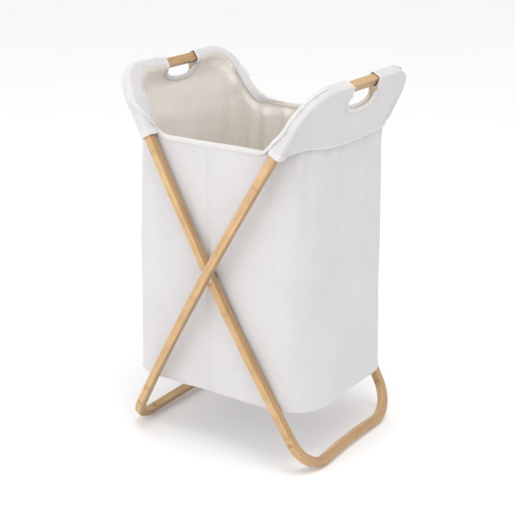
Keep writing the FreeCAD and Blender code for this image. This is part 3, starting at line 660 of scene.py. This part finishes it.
def outline(side, p, z):
    """Points and outward directions of the bag at distance p round it from the end wall's middle."""
    p, z = np.broadcast_arrays(np.asarray(p, float), np.asarray(z, float))
    far, end = np.abs(p), np.where(p < 0, -1.0, 1.0)
    radius = bag_corner(z)
    half_end = bag_half_depth(z) - radius
    angle = np.clip((far - END_FLAT) / CORNER, 0, math.pi / 2)
    x = bag_half_length(z) - radius + radius * np.cos(angle)
    y = half_end * np.clip(far / END_FLAT, 0, 1) + radius * np.sin(angle)
    x_seam = side * (SEAM_X - bag_shift(z))
    run = np.clip((far - ARC_END) / flat_length(side), 0, 1)
    x = x + run * (x_seam - (bag_half_length(z) - radius))
    point = np.stack([side * x + bag_shift(z), end * y, z], axis=-1)
    normal = np.stack([side * np.cos(angle), end * np.sin(angle), np.zeros_like(z)], axis=-1)
    return point, normal


def loop_stretch(loop):
    """How much longer the loop is than the bag's outline, from the straight part to the leg's exit."""
    return (loop.exit - STRAIGHT) / (ARC_END - STRAIGHT)


def loop_place(loop, p):
    """Distance along the loop for a place on the bag's outline."""
    far = np.abs(p)
    return np.sign(p) * np.where(far <= STRAIGHT, far, STRAIGHT + (far - STRAIGHT) * loop_stretch(loop))


def outline_place(loop, s):
    """Place on the bag's outline for a distance along the loop."""
    return STRAIGHT + (abs(s) - STRAIGHT) / loop_stretch(loop)


def fold_offset(loop, s):
    """How far inside the loop's inner contour the lining's edge lies; below zero it is on the strip."""
    height = loop.mark - np.abs(s)
    if loop.side < 0:
        front = np.interp(height, [-8, 0, 34, 60, 78, 98, 112, 128, 146, 175],
                          [4, 4, 8, 9, 6, -5, -12, -9, -6, -4])
        back = np.interp(height, [-8, 0, 15, 30, 45, 75, 92, 105, 130, 150],
                         [1, 1, 1, 1.5, 5, 6.5, 0, -4, -6, -5])
        return np.where(s < 0, front, back)
    return np.interp(height, [0, 45, 71, 95, 120, 150], [0.5, 0.5, 3, 6, 3, 0.8])


def lap(loop, s):
    """How far the right hood's lining rises over its sleeve near the rim, from 0 to 1."""
    return (loop.side > 0) * np.exp(-(((loop.mark - np.abs(s) - 42) / 28) ** 2))


def lining_turn(loop, s):
    """Where the lining meets the sleeve's inner corner."""
    inside = np.maximum(fold_offset(loop, s), 1.5) + 0.7
    return loop.point(s, -(STRIP_HALF + inside), SLEEVE_FACE + 2.6 * lap(loop, s))


def lining_edge(loop, s):
    """The lining's sewn edge, on the sleeve's face."""
    return loop.point(s, -(STRIP_HALF + fold_offset(loop, s)) + 0.4, STRIP_HALF_THICK + 3.1)


def handle_level(loop, y, base):
    """Level of the hand hole's lower edge, cut down from base."""
    power = loop.hole_power
    across = y / loop.hole_half
    across = across - loop.hole_skew / loop.hole_half * (1 - across**2)
    inside = np.clip(1 - np.abs(across) ** power, 0, 1) ** (1 / power)
    return base - loop.hole_drop * inside


def rim_level(x, end):
    middle = np.where(end < 0, RIM_FRONT, RIM_BACK)
    return middle + 0.7 * np.sin(x / 29.0 + end)


# How the rim rises from the flat walls to each leg: x, |y|, z, and the height on the leg where it joins
RISE = {
    (-1, -1): ([(-62, 144.5, 547.6), (-91, 144.8, 547.6), (-107, 144.0, 549.2)], 2.0),
    (-1, 1): ([(-58, 144.3, 556.9), (-74, 144.7, 555.2), (-88, 145.5, 553), (-102, 146, 552.4),
               (-114, 145.5, 556), (-127, 142.5, 567), (-137, 138.5, 581)], 42.0),
    (1, -1): ([(62, 144.5, 547.6), (82, 146, 548), (94, 150, 549.6), (104, 156.5, 553), (113, 163, 558),
               (122, 169, 564), (128.5, 172.5, 569.5), (133.9, 173.5, 574.8), (139.5, 167, 588.6)], 50.0),
    (1, 1): ([(62, 144.5, 556.8), (82, 146, 556.6), (94, 150, 557), (104, 156.5, 558.5), (113, 163, 561.5),
              (122, 169, 566), (128.5, 172.5, 570.5), (133.9, 173.5, 576), (140, 167, 588)], 50.0),
}
# The free edge of the back web beside the left leg: x, y, z
WEB_EDGE = [(-148.5, 159.5, 598.6), (-139.7, 158.5, 590.3), (-124.3, 156, 577.5), (-108.3, 152, 567.1),
            (-92.5, 148, 560.4), (-77.6, 145.5, 558.4), (-63.9, 144.3, 557.1), (-56, 144.3, 556.9)]


def wall_top(loop, p):
    """Where the bag's wall reaches the rim or the sleeve at each place, before the handle is cut."""
    end = np.where(p < 0, -1.0, 1.0)
    top = lining_turn(loop, loop_place(loop, np.clip(p, -ARC_END, ARC_END)))
    rim, _ = outline(loop.side, p, RIM_LEVEL)
    rim[:, 2] = rim_level(rim[:, 0], end)
    start = ARC_END + 60.0
    for corner in (-1, 1):
        points, join_height = RISE[(loop.side, corner)]
        join = outline_place(loop, loop.climb(1, join_height))
        joined = lining_turn(loop, loop.climb(corner, join_height))[0]
        track = spline([(x, corner * y, z) for x, y, z in points] + [tuple(joined)], 1.5)
        far = np.abs(p)
        mine = (end == corner) & (far > join)
        share = np.clip((start - far) / (start - join), 0, 1)
        path = along_line(track, share)
        blend = smooth(start + 14, start - 6, far)[:, None]
        top = np.where(mine[:, None], rim * (1 - blend) + path * blend, top)
    return top


def wall_lip(loop, p):
    """The lining's sewn edge beyond wall_top, where it lies on the sleeve."""
    top = wall_top(loop, p)
    edge = lining_edge(loop, loop_place(loop, np.clip(p, -ARC_END, ARC_END)))
    far = np.abs(p)
    share = smooth(loop.hole_half + 1, loop.hole_half + 5, far)
    for corner in (-1, 1):
        join = outline_place(loop, loop.climb(1, RISE[(loop.side, corner)][1]))
        share = np.where(np.sign(p) == corner, share * smooth(join + 2, join - 16, far), share)
    return top + (edge - top) * share[:, None]


def wall_relief(side, p, z, point):
    """Folds, puckers and slack of the bag's cloth, outward in millimetres."""
    far = np.abs(p)
    slack = 1.5 * ripple(point, 190, 3, (1, 1, 1.7)) + 0.55 * ripple(point, 62, 5, (1, 1, 2.2))
    seam_fall = smooth(395, 548, z) * smooth(575, 552, z)
    creases = ripple(np.stack([p, z * 0.10, 0 * z], -1), 34, 17 + side) * seam_fall * smooth(150, 90, far)
    corner = np.exp(-(((far - 128) / 22) ** 2)) * np.sin(far / 5.3 + side) * smooth(330, 545, z)
    on_flat = smooth(ARC_END - 20, ARC_END + 20, far)
    pucker = ripple(np.stack([p, z * 0.25, 0 * z], -1), 15, 23) * smooth(505, 548, z) * on_flat
    hem = ripple(np.stack([p, z * 0.3, 0 * z], -1), 26, 29) * smooth(160, 112, z)
    seam = -1.4 * np.exp(-(((far - ARC_END - flat_length(side)) / 3.2) ** 2))
    round_flat = np.clip((far - ARC_END + 30) / (flat_length(side) + 60), 0, 1)
    belly = 2.6 * np.sin(np.pi * round_flat) ** 2 * np.sin(np.pi * np.clip((z - WALL_FOOT) / 440, 0, 1))
    end_sag = -2.0 * np.exp(-((far / 60) ** 2)) * np.sin(np.pi * np.clip((z - 330) / 230, 0, 1))
    end_sag = end_sag + 0.9 * np.exp(-(((far - 40) / 62) ** 2)) * smooth(300, 118, z)
    back = (p > 0) * smooth(72, 120, far) * smooth(330, 230, far) * smooth(180, 430, z)
    folds = back * (2.4 * np.sin(far / 6.4 + 0.006 * z) + 1.6 * np.sin(far / 3.9 + 1.3 - 0.01 * z) - 4.2)
    at_seam = np.exp(-(((z - seam_level(point[..., 1])) / 14) ** 2))
    loose = 1 - 0.9 * at_seam * smooth(ARC_END + 20, ARC_END - 10, far)
    return (slack * loose + 1.9 * creases + 1.3 * corner + 0.6 * pucker + 0.55 * hem
            + seam + belly + end_sag + folds)


def handle_places(loop, count):
    """Places across the hand hole, closest together at its ends."""
    return loop.hole_half * np.sin(np.linspace(-math.pi / 2, math.pi / 2, count))


def column_places(loop):
    """Places round half the bag: fine at the handle, even elsewhere."""
    handle = handle_places(loop, 33)
    arc = np.linspace(loop.hole_half, ARC_END, 56)[1:]
    flat = np.linspace(ARC_END, ARC_END + flat_length(loop.side), 46)[1:]
    half = np.concatenate([arc, flat])
    return np.concatenate([-half[::-1], handle, half])


def wall_surface(loop, p, share):
    """Middle surface of the bag wall: share 0 at the floor, 1 at the rim, 1 to 2 on the sleeve's face."""
    side = loop.side
    top = wall_top(loop, p)
    lip = wall_lip(loop, p)
    floor = BAG_FLOOR + 0.8 * smooth(ARC_END, ARC_END + 90, np.abs(p))
    cut = np.where(np.abs(p) < loop.hole_half, handle_level(loop, p, top[:, 2]), top[:, 2])
    below = np.minimum(share, 1.0)[:, None]
    z = floor + (cut - floor) * below
    point, normal = outline(side, np.broadcast_to(p, z.shape), z)
    base_top, _ = outline(side, p, top[:, 2])
    reach = 34 + 16 * smooth(STRAIGHT, ARC_END, np.abs(p))
    t = np.clip((z - (top[:, 2] - reach)) / reach, 0, 1)
    point = point + (top - base_top)[None] * (t**1.8)[..., None]
    relief = wall_relief(side, np.broadcast_to(p, z.shape), z, point) * smooth(0.86, 0.5, t)
    point = point + normal * relief[..., None]
    beyond = np.clip(share - 1, 0, 1)[:, None, None]
    return point + (lip - top)[None] * beyond


LIP_SHARES = [1.25, 1.6, 2.0]
ROWS = np.concatenate([np.linspace(0, 0.80, 56, endpoint=False), np.linspace(0.80, 1, 34), LIP_SHARES])


def bag_wall(loop, name, node):
    places = column_places(loop)
    grid = wall_surface(loop, places, ROWS)
    piece = cloth(name, grid, CLOTH, "bag", inside=BAG_MIDDLE, lip_rows=len(LIP_SHARES))
    flatten_with_bag(piece)
    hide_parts(node)


# ---------------------------------------------------------------- sleeves and flaps


def sleeve_slack(loop, s):
    """Outward, outer and inner clearance of a sleeve round its strip."""
    far, front = np.abs(s), s < 0
    angle = (far - loop.bar_half) / CORNER_RADIUS
    puff = np.exp(-(((angle - 0.62) / 0.55) ** 2))
    if loop.side < 0:
        outward = 1.6 + (9.5 * puff + 3.2 * np.exp(-(((far - 66) / 13) ** 2))) * front
        outer = 2.4 + 1.5 * puff
    else:
        outward = 1.5 + 0.6 * puff
        outer = 2.0 + 2.4 * smooth(loop.corner_stop - 30, loop.exit - 8, far)
    return outward, outer, 1.5


def sleeve_corners(loop, s):
    """The four corners of a sleeve's section, as (w, m) pairs, starting inside at the lining."""
    outward, outer, inner = sleeve_slack(loop, s)
    w_out = STRIP_HALF + outward
    w_in = -(STRIP_HALF + inner)
    m_in = SLEEVE_FACE - 0.6 * lap(loop, s)
    m_out = -(STRIP_HALF_THICK + outer)
    w_lining = -(STRIP_HALF + np.maximum(fold_offset(loop, s), inner))
    return [(w_lining, m_in), (w_out, m_in), (w_out, m_out), (w_in + 0 * s, m_out)]


def sleeve_section(loop, s, around):
    """Point of a sleeve at around 0..4, one unit a side, with rounded corners."""
    corners = sleeve_corners(loop, s)
    rounding = 0.13
    w = np.zeros_like(s)
    m = np.zeros_like(s)
    for shift, weight in ((-rounding, 0.27), (0, 0.46), (rounding, 0.27)):
        a = (around + shift) % 4
        k = int(a) % 4
        f = a - int(a)
        w += weight * (corners[k][0] * (1 - f) + corners[(k + 1) % 4][0] * f)
        m += weight * (corners[k][1] * (1 - f) + corners[(k + 1) % 4][1] * f)
    return w, m


def sleeve_line(loop, s, around):
    """Points at distances s on a sleeve, at one place round its section, and the directions they face."""
    w, m = sleeve_section(loop, s, around)
    point = loop.point(s, w, m)
    return point, unit(point - loop.at(s)[0])


def sleeve_grid(loop, end):
    s = end * np.linspace(loop.hole_half - 1, loop.exit, 64)
    around = np.concatenate([k + np.array([0, 0.1, 0.22, 0.36, 0.5, 0.64, 0.78, 0.9]) for k in range(4)])
    rows = []
    for a in around:
        point, out = sleeve_line(loop, s, a)
        far = np.abs(s)
        past_bar = smooth(loop.bar_half - 15, loop.bar_half + 20, far)
        bend = past_bar * smooth(loop.corner_stop + 30, loop.corner_stop, far)
        place = np.stack([far, 0 * s + a * 3, 0 * s], -1)
        creases = ripple(place, 17, 41 + loop.side + int(end)) * (0.35 + 0.8 * bend)
        rows.append(point + out * (creases + 0.35)[:, None])
    return np.array(rows).transpose(1, 0, 2)


def flap_top(loop, s):
    outward, outer, _ = sleeve_slack(loop, s)
    return loop.point(s, STRIP_HALF + outward - 0.5, -(STRIP_HALF_THICK + outer + 0.4))


def seam_level(y):
    return 550.3 + 0.00045 * y**2 + 0.6 * np.sin(y / 24.0)


def flap_surface(loop, p, share):
    """Outer end flap from its seam, share 0, to the sleeve's outer top edge, share 1."""
    s = loop_place(loop, p)
    top = flap_top(loop, s)
    base, normal = outline(loop.side, p, seam_level(p))
    exit_edge = flap_top(loop, np.sign(p) * loop.exit)
    away = smooth(ARC_END - 62, ARC_END, np.abs(p))[:, None]
    bottom = (base + normal * 2.7) * (1 - away) + exit_edge * away
    bottom[:, 2] = (seam_level(p) * (1 - away[:, 0]) + (exit_edge[:, 2] + 1.0) * away[:, 0])
    bottom[:, 2] -= 4.0 * np.sin(np.pi * away[:, 0])
    hole = (handle_level(loop, p, 631.0) - bottom[:, 2]) / (top[:, 2] - bottom[:, 2])
    cut = np.where(np.abs(p) < loop.hole_half, hole, 1.0)
    t = share[:, None] * cut[None]
    point = bottom[None] + (top - bottom)[None] * t[..., None]
    ease = (t**1.35 - t)[..., None]
    level = np.array([1.0, 1.0, 0.0])
    point = point + (top - bottom)[None] * level * ease
    relief = 1.4 * ripple(point, 70, 51, (1, 1, 1.4)) + 0.7 * ripple(point, 26, 52) + 0.6
    relief = relief * smooth(0, 0.2, t) * smooth(1.0, 0.8, t)
    point = point + np.broadcast_to(normal, point.shape) * relief[..., None]
    z = point[..., 2]
    lining = loop.side * (bag_half_length(z) + 3.2) + bag_shift(z)
    near_hole = smooth(loop.hole_half + 26, loop.hole_half - 4, np.abs(p))
    drawn = near_hole * smooth(558, 598, z) * smooth(634, 611, z)
    point[..., 0] += (lining - point[..., 0]) * drawn
    return point


def flap_places(loop):
    handle = handle_places(loop, 33)
    arc = np.linspace(loop.hole_half, ARC_END, 48)[1:]
    return np.concatenate([-arc[::-1], handle, arc])


def flatten_on_loop(piece):
    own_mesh(piece)


def hood(loop, label):
    """Sleeve tubes, outer flap, cuffs and flap seam of one end."""
    points, faces, uvs = shells([sleeve_grid(loop, end) for end in (-1, 1)], 1.2)
    sleeves = make(label + "_sleeve_cloth", points, faces, CANVAS, loop.body, uvs)
    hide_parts(label + "_sleeve")

    places = flap_places(loop)
    share = np.linspace(0, 1, 30)
    flap = cloth(label + "_flap_cloth", flap_surface(loop, places, share), 1.3, loop.body)
    flatten_on_loop(flap)
    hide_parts(label + "_flap")

    path = even(flap_surface(loop, places, np.array([0.0]))[0], 3.0)
    normal = unit(path - np.array([loop.side * 60.0, 0, 0]) - UP * path[:, 2:3])
    upright = all_along(path, UP)
    welt = tape(label + "_flap_seam", path, normal, 2.0, 1.3, loop.body, across=upright)
    flatten_on_loop(welt)

    cuffs = []
    for end in (-1, 1):
        s = end * np.linspace(loop.exit - 9.0, loop.exit + 1.0, 5)
        ring = []
        for a in np.linspace(0, 4, 40, endpoint=False):
            point, out = sleeve_line(loop, s, a)
            ring.append(point + out * 1.35)
        cuffs.append(np.array(ring).transpose(1, 0, 2))
    points, faces, uvs = shells(cuffs, 1.1)
    cuff = make(label + "_sleeve_hems", points, faces, TAPE, loop.body, uvs)
    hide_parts(label + "_sleeve_cuffs")


def handle_bindings(loop, label):
    """Tape round the hand hole: a U on each layer and a ring where each sleeve stops."""
    places = handle_places(loop, 61)
    inner = wall_surface(loop, places, np.array([1.0]))[0]
    outer = flap_surface(loop, places, np.array([1.0]))[0]
    outward = np.array([loop.side * 1.0, 0, 0])
    for layer, edge, body in (("inner", inner, "bag"), ("outer", outer, loop.body)):
        path = even(edge, 2.5)
        along = np.gradient(path, axis=0)
        across = unit(np.cross(along, outward))
        path = path - np.sign(across[:, 2:3]) * across * 2.2
        facing = all_along(path, outward)
        piece = tape("%s_%s_hole_binding" % (label, layer), path, facing, 4.0, 1.7, body)
        if layer == "inner":
            flatten_with_bag(piece)
        else:
            flatten_on_loop(piece)
        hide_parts("%s_%s_binding" % (label, layer))
    for end, where in ((-1, "front"), (1, "back")):
        s = np.array([end * loop.hole_half])
        ring = []
        for a in np.linspace(0, 4, 48, endpoint=False):
            point, out = sleeve_line(loop, s, a)
            ring.append((point + out * 0.6)[0])
        ring = np.array(ring)
        normal = unit(ring - loop.at(s)[0])
        tape("%s_bar_binding_%s" % (label, where), ring, normal, 3.6, 0.9, loop.body, True,
             across=all_along(ring, BACK))


# ---------------------------------------------------------------- rim tapes


def sleeve_surface(loop, s, around):
    """A point on the sleeve's section and the direction it faces."""
    point, out = sleeve_line(loop, np.array([s]), around % 4)
    return point[0], out[0]


# Course of each hood tape on its sleeve: height on the leg and place round the sleeve's section
RIGHT_CLIMB = [(32, 1.12), (48, 1.2), (66, 1.22), (86, 1.24), (108, 1.26), (132, 1.3)]
CLIMBS = {
    (-1, -1): [(-3, -0.25), (4, 0.06), (12, 0.30), (22, 0.58), (32, 0.85), (42, 1.12), (54, 1.42),
               (68, 1.72), (82, 1.95), (96, 2.02)],
    (-1, 1): [(46, 1.02), (56, 1.14), (68, 1.4), (84, 1.72), (98, 1.98)],
    (1, -1): RIGHT_CLIMB,
    (1, 1): RIGHT_CLIMB,
}


def hood_tape(loop, label, end):
    """Tape that leaves the rim and climbs on the sleeve; returns its paths on the bag and on the sleeve."""
    rows = []
    where = "front" if end < 0 else "back"
    risen = 0
    if loop.side > 0:
        lead = np.array([(x, end * y, z) for x, y, z in RISE[(loop.side, end)][0][1:8]])
        for i, place in enumerate(lead):
            turn = smooth(0, len(lead) - 1, i)
            out = unit(np.array([-0.25 * turn, end * 1.0, 0.55 * turn]))
            rows.append(np.concatenate([place + out * (2.4 - 0.6 * turn) - UP * 3.0 * (1 - turn), out]))
        risen = len(rows)
    for height, around in CLIMBS[(loop.side, end)]:
        at = float(loop.climb(end, height))
        point, normal = sleeve_surface(loop, at, around)
        if around < 0:
            point, normal = lining_turn(loop, at)[0], loop.inward
        rows.append(np.concatenate([point + normal * 0.9, normal]))
    path = spline(rows, 2.5)
    split = 0
    if risen:
        split = int(np.argmin(np.linalg.norm(path[:, :3] - rows[risen - 1][:3], axis=1)))
        lead = path[:split + 2]
        piece = tape("%s_rising_tape_%s" % (label, where), lead[:, :3], unit(lead[:, 3:]), *HOOD_TAPE, "bag")
        flatten_with_bag(piece)
    climb = path[split:]
    tape("%s_hood_tape_%s" % (label, where), climb[:, :3], unit(climb[:, 3:]), *HOOD_TAPE, loop.body)
    return path[:split], climb


WEB_COLUMNS = 52
WEB_TURN = (40, 51)


def web_lines(count):
    """The back web's free edge, its sewn edge and the directions it faces into the bag."""
    loop = LEFT
    starts = loop.climb(1, np.array([64.0, 54.0]))
    sewn_start = loop.point(starts, -(STRIP_HALF + 7.2), STRIP_HALF_THICK + 2.0)
    free_start = loop.point(starts[:1], STRIP_HALF - 1.0, STRIP_HALF_THICK - 0.5)
    places = np.linspace(outline_place(loop, loop.climb(1, 41.0)), ARC_END + 66.0, 80)
    shares = np.linspace(0, 1, count)
    free = along_line(spline(np.vstack([free_start, WEB_EDGE]), 3.0), shares)
    sewn = along_line(even(np.vstack([sewn_start, wall_top(loop, places)]), 2.0), shares)
    face = unit(np.cross(np.gradient(free, axis=0), free - sewn + UP))
    face = face * np.sign((face * np.array([0.6, -1.0, 0.5])).sum(1, keepdims=True))
    return free, sewn, face


def back_web():
    """Cloth that fills the angle between the back rim and the left leg's sleeve."""
    free, sewn, face = web_lines(WEB_COLUMNS)
    rows = []
    for t in np.linspace(-0.15, 1, 9):
        bulge = face * (2.1 + 1.0 * math.sin(math.pi * max(t, 0)))
        row = sewn + (free - sewn) * t - UP * 1.5 * max(-t, 0) + bulge
        rows.append(row + face * 0.4 * ripple(row, 16, 71)[:, None])
    piece = cloth("back_web", np.array(rows), 1.3, "bag")
    flatten_with_bag(piece)


def hole_facing(loop, label):
    """Cloth that closes the gap between the two layers round the hand hole."""
    places = loop.hole_half * np.sin(np.linspace(-1, 1, 61) * math.radians(88))
    inner = wall_surface(loop, places, np.array([1.0]))[0]
    outer = flap_surface(loop, places, np.array([1.0]))[0]
    sag = np.linspace(0, 1, 7)
    grid = np.array([inner + (outer - inner) * t - UP * 0.8 * math.sin(math.pi * t) for t in sag])
    # Painted in the tan facing colour, which is painted shade and reflection
    piece = cloth(label + "_hole_facing", grid, 1.0, "bag", paint=FACING_PAINTED_SHADE)
    flatten_with_bag(piece)


# Where the rim tapes start at the left, front and back, and stop at the right
RIM_TAPE_START = {-1: -123, 1: -60}
RIM_TAPE_STOP = 92


def rim_tape(end, name):
    """Binding folded over the rim between the legs."""
    rows = []
    for loop in (LEFT, RIGHT):
        places = end * np.linspace(ARC_END - 1.0, ARC_END + flat_length(loop.side), 26)
        edge = wall_top(loop, places)
        rows.append(edge if loop.side < 0 else edge[::-1])
    edge = np.vstack([rows[0], rows[1][1:]])
    edge = edge[(edge[:, 0] < RIM_TAPE_STOP) & (edge[:, 0] > RIM_TAPE_START[end])]
    path = even(edge, 3.0)
    path[:, 2] -= 3.4
    facing = all_along(path, end * BACK)
    across = all_along(path, UP)
    if end > 0:
        free, sewn, face = web_lines(WEB_COLUMNS)
        side = unit(free - sewn + UP * 0.01)
        turn = smooth(*WEB_TURN, np.arange(WEB_COLUMNS))[:, None]
        side = side * (1 - turn) + UP * turn
        along = free - unit(side) * 3.2 + face * 1.2
        keep = along[:, 0] < path[0, 0] - 4
        path = np.vstack([along[keep], path])
        facing = np.vstack([-face[keep], facing])
        across = np.vstack([unit(side)[keep], across])
    for _ in range(6):
        facing[1:-1] = unit(facing[:-2] + facing[1:-1] + facing[2:])
        across[1:-1] = unit(across[:-2] + across[1:-1] + across[2:])
        path[1:-1] = (path[:-2] + 2 * path[1:-1] + path[2:]) / 4
    piece = tape(name, path, facing, *RIM_TAPE, "bag", across=across)
    # The back tape's faces that look into the bag get the brighter lining copy: painted light
    if end > 0:
        piece.data.materials.append(LINING_PAINTED_LIGHT)
        for polygon in piece.data.polygons:
            polygon.material_index = int(polygon.normal.y < -0.2)
    flatten_with_bag(piece)
    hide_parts(name.replace("binding", "tape"))
    return path, facing, across


def bag_floor():
    """Floor cloth with the welt that joins it to the walls."""
    rings = []
    for loop in (LEFT, RIGHT):
        reach = ARC_END + flat_length(loop.side)
        edge = wall_surface(loop, np.linspace(-reach, reach, 90), np.array([0.0]))[0]
        rings.append(edge if loop.side < 0 else edge[::-1])
    loop_edge = np.vstack([rings[0][:-1], rings[1][:-1]])
    middle_x = bag_shift(110.0)
    middle = np.array([middle_x, 0, 109.0])
    shares = np.array([1.0, 0.985, 0.9, 0.75, 0.55, 0.35, 0.15, 0.02])
    grid = middle + (loop_edge - middle)[None] * shares[:, None, None]
    edge_share = shares[:, None] ** 6
    dish = 109.2 - 0.9 * (1 - shares[:, None] ** 2)
    grid[..., 2] = loop_edge[None, :, 2] * edge_share + dish * (1 - edge_share)
    grid[..., 2] += 0.4 * ripple(grid, 60, 61) * (1 - shares[:, None] ** 4)
    rows, columns = grid.shape[:2]
    quads = grid_quads(rows, columns, True)
    points = np.vstack([grid.reshape(-1, 3), grid[-1].mean(0)[None]])
    centre = len(points) - 1
    last = (rows - 1) * columns
    cap = [(last + c, last + (c + 1) % columns, centre, centre) for c in range(columns)]
    solid, faces = thicken(points, quads + cap, CLOTH)
    faces = [tuple(dict.fromkeys(f)) for f in faces]
    faces = [f for f in faces if len(f) > 2]
    piece = make("bag_floor_cloth", solid, faces, CANVAS, "bag", points[:, :2])
    flatten_with_bag(piece)
    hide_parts("bag_bottom")

    path = even(np.vstack([loop_edge, loop_edge[:1]]), 3.0)[:-1]
    path[:, 2] += 0.2
    out = unit(np.stack([path[:, 0] - middle_x, path[:, 1], 0 * path[:, 0]], -1))
    points, faces = ribbon(path, all_along(path, UP), out, WELT_HALF, WELT_HALF, True)
    welt = make("bag_floor_seam", points, faces, CANVAS, "bag", ribbon_uv(path, WELT_HALF), 80)
    flatten_with_bag(welt)


ENDS = ((LEFT, "left"), (RIGHT, "right"))
for loop, label in ENDS:
    bag_wall(loop, label + "_bag_wall", "bag_%s_half" % label)
bag_floor()
for make_end in (hood, handle_bindings, hole_facing):
    for loop, label in ENDS:
        make_end(loop, label)
back_web()
rim_paths = [rim_tape(-1, "front_rim_binding"), rim_tape(1, "back_rim_binding")]
hood_tapes = {}
for loop, label in ENDS:
    for end in (-1, 1):
        hood_tapes[(loop.side, end)] = hood_tape(loop, label, end)

# ---------------------------------------------------------------- stitching


def tape_seam(path):
    """A line of stitches on the middle of a hood tape."""
    normal = unit(path[:, 3:])
    return path[:, :3] + normal * 1.5, normal


def bag_stitches():
    lines = []
    for path, facing, across in rim_paths:
        for side in (-1, 1):
            lines.append((path + facing * side * 1.9 - across * 2.6, facing * side))
    for loop in (LEFT, RIGHT):
        for end in (-1, 1):
            place = end * (ARC_END + flat_length(loop.side) - 4.0)
            edge = wall_surface(loop, np.array([place]), np.linspace(0.01, 0.97, 160))[:, 0]
            facing = all_along(edge, end * BACK)
            lines.append((edge + facing * (CLOTH / 2 + 0.15), facing))
    for lead, _ in hood_tapes.values():
        if len(lead):
            lines.append(tape_seam(lead))
    piece = stitches("bag_stitching", lines, "bag")
    flatten_with_bag(piece)


def hood_stitches(loop, label):
    places = flap_places(loop)
    row = flap_surface(loop, places, np.array([0.055]))[0]
    outward = unit(row - np.array([loop.side * 90.0, 0, 0]) - UP * row[:, 2:3])
    piece = stitches(label + "_flap_stitching", [(row + outward * 0.9, outward)], loop.body)
    flatten_on_loop(piece)
    lines = [tape_seam(hood_tapes[(loop.side, end)][1]) for end in (-1, 1)]
    stitches(label + "_tape_stitching", lines, loop.body)


bag_stitches()
for loop, label in ENDS:
    hood_stitches(loop, label)

# ---------------------------------------------------------------- floor, light and camera


def studio():
    mesh = bpy.data.meshes.new("studio_floor")
    corners = [(8 * x, 8 * y, -0.0006) for x, y in ((-1, -1), (1, -1), (1, 1), (-1, 1))]
    mesh.from_pydata(corners, [], [(0, 1, 2, 3)])
    floor = bpy.data.objects.new("studio_floor", mesh)
    bpy.context.scene.collection.objects.link(floor)
    n = Nodes("studio_floor")
    cloud = n.noise(n.coordinates("Object"), 3.0, 3.0)
    n.set(Base_Color=n.mix(cloud, rgb(0.90, 0.90, 0.90), rgb(0.93, 0.93, 0.93)), Roughness=0.9)
    mesh.materials.append(n.material)

    world = bpy.data.worlds.new("studio")
    world.use_nodes = True
    world.node_tree.nodes["Background"].inputs["Color"].default_value = rgb(1.0, 1.0, 1.0)
    world.node_tree.nodes["Background"].inputs["Strength"].default_value = 1.0
    bpy.context.scene.world = world
    bpy.context.scene.view_settings.view_transform = "Standard"
    lights = (
        ("key", (-1.7, -2.7, 1.3), 17.0, 2.2),
        ("top", (0.8, -0.6, 3.0), 27.0, 1.6),
        ("low", (-0.4, -2.4, 0.3), 6.0, 1.2),
    )
    for name, place, power, size in lights:
        light = bpy.data.lights.new(name, "AREA")
        light.energy, light.size = power, size
        lamp = bpy.data.objects.new(name, light)
        lamp.location = place
        lamp.rotation_mode = "QUATERNION"
        lamp.rotation_quaternion = (Vector((0, 0, 0.35)) - Vector(place)).to_track_quat("-Z", "Y")
        bpy.context.scene.collection.objects.link(lamp)


def camera():
    data = bpy.data.cameras.new("camera")
    data.sensor_width = 36.0
    data.lens = 85.73
    eye = bpy.data.objects.new("camera", data)
    eye.location = (1.1271, -1.6922, 1.0302)
    eye.rotation_euler = (math.radians(90 - 19.47), 0, math.radians(34.03))
    bpy.context.scene.collection.objects.link(eye)
    bpy.context.scene.camera = eye


studio()
camera()
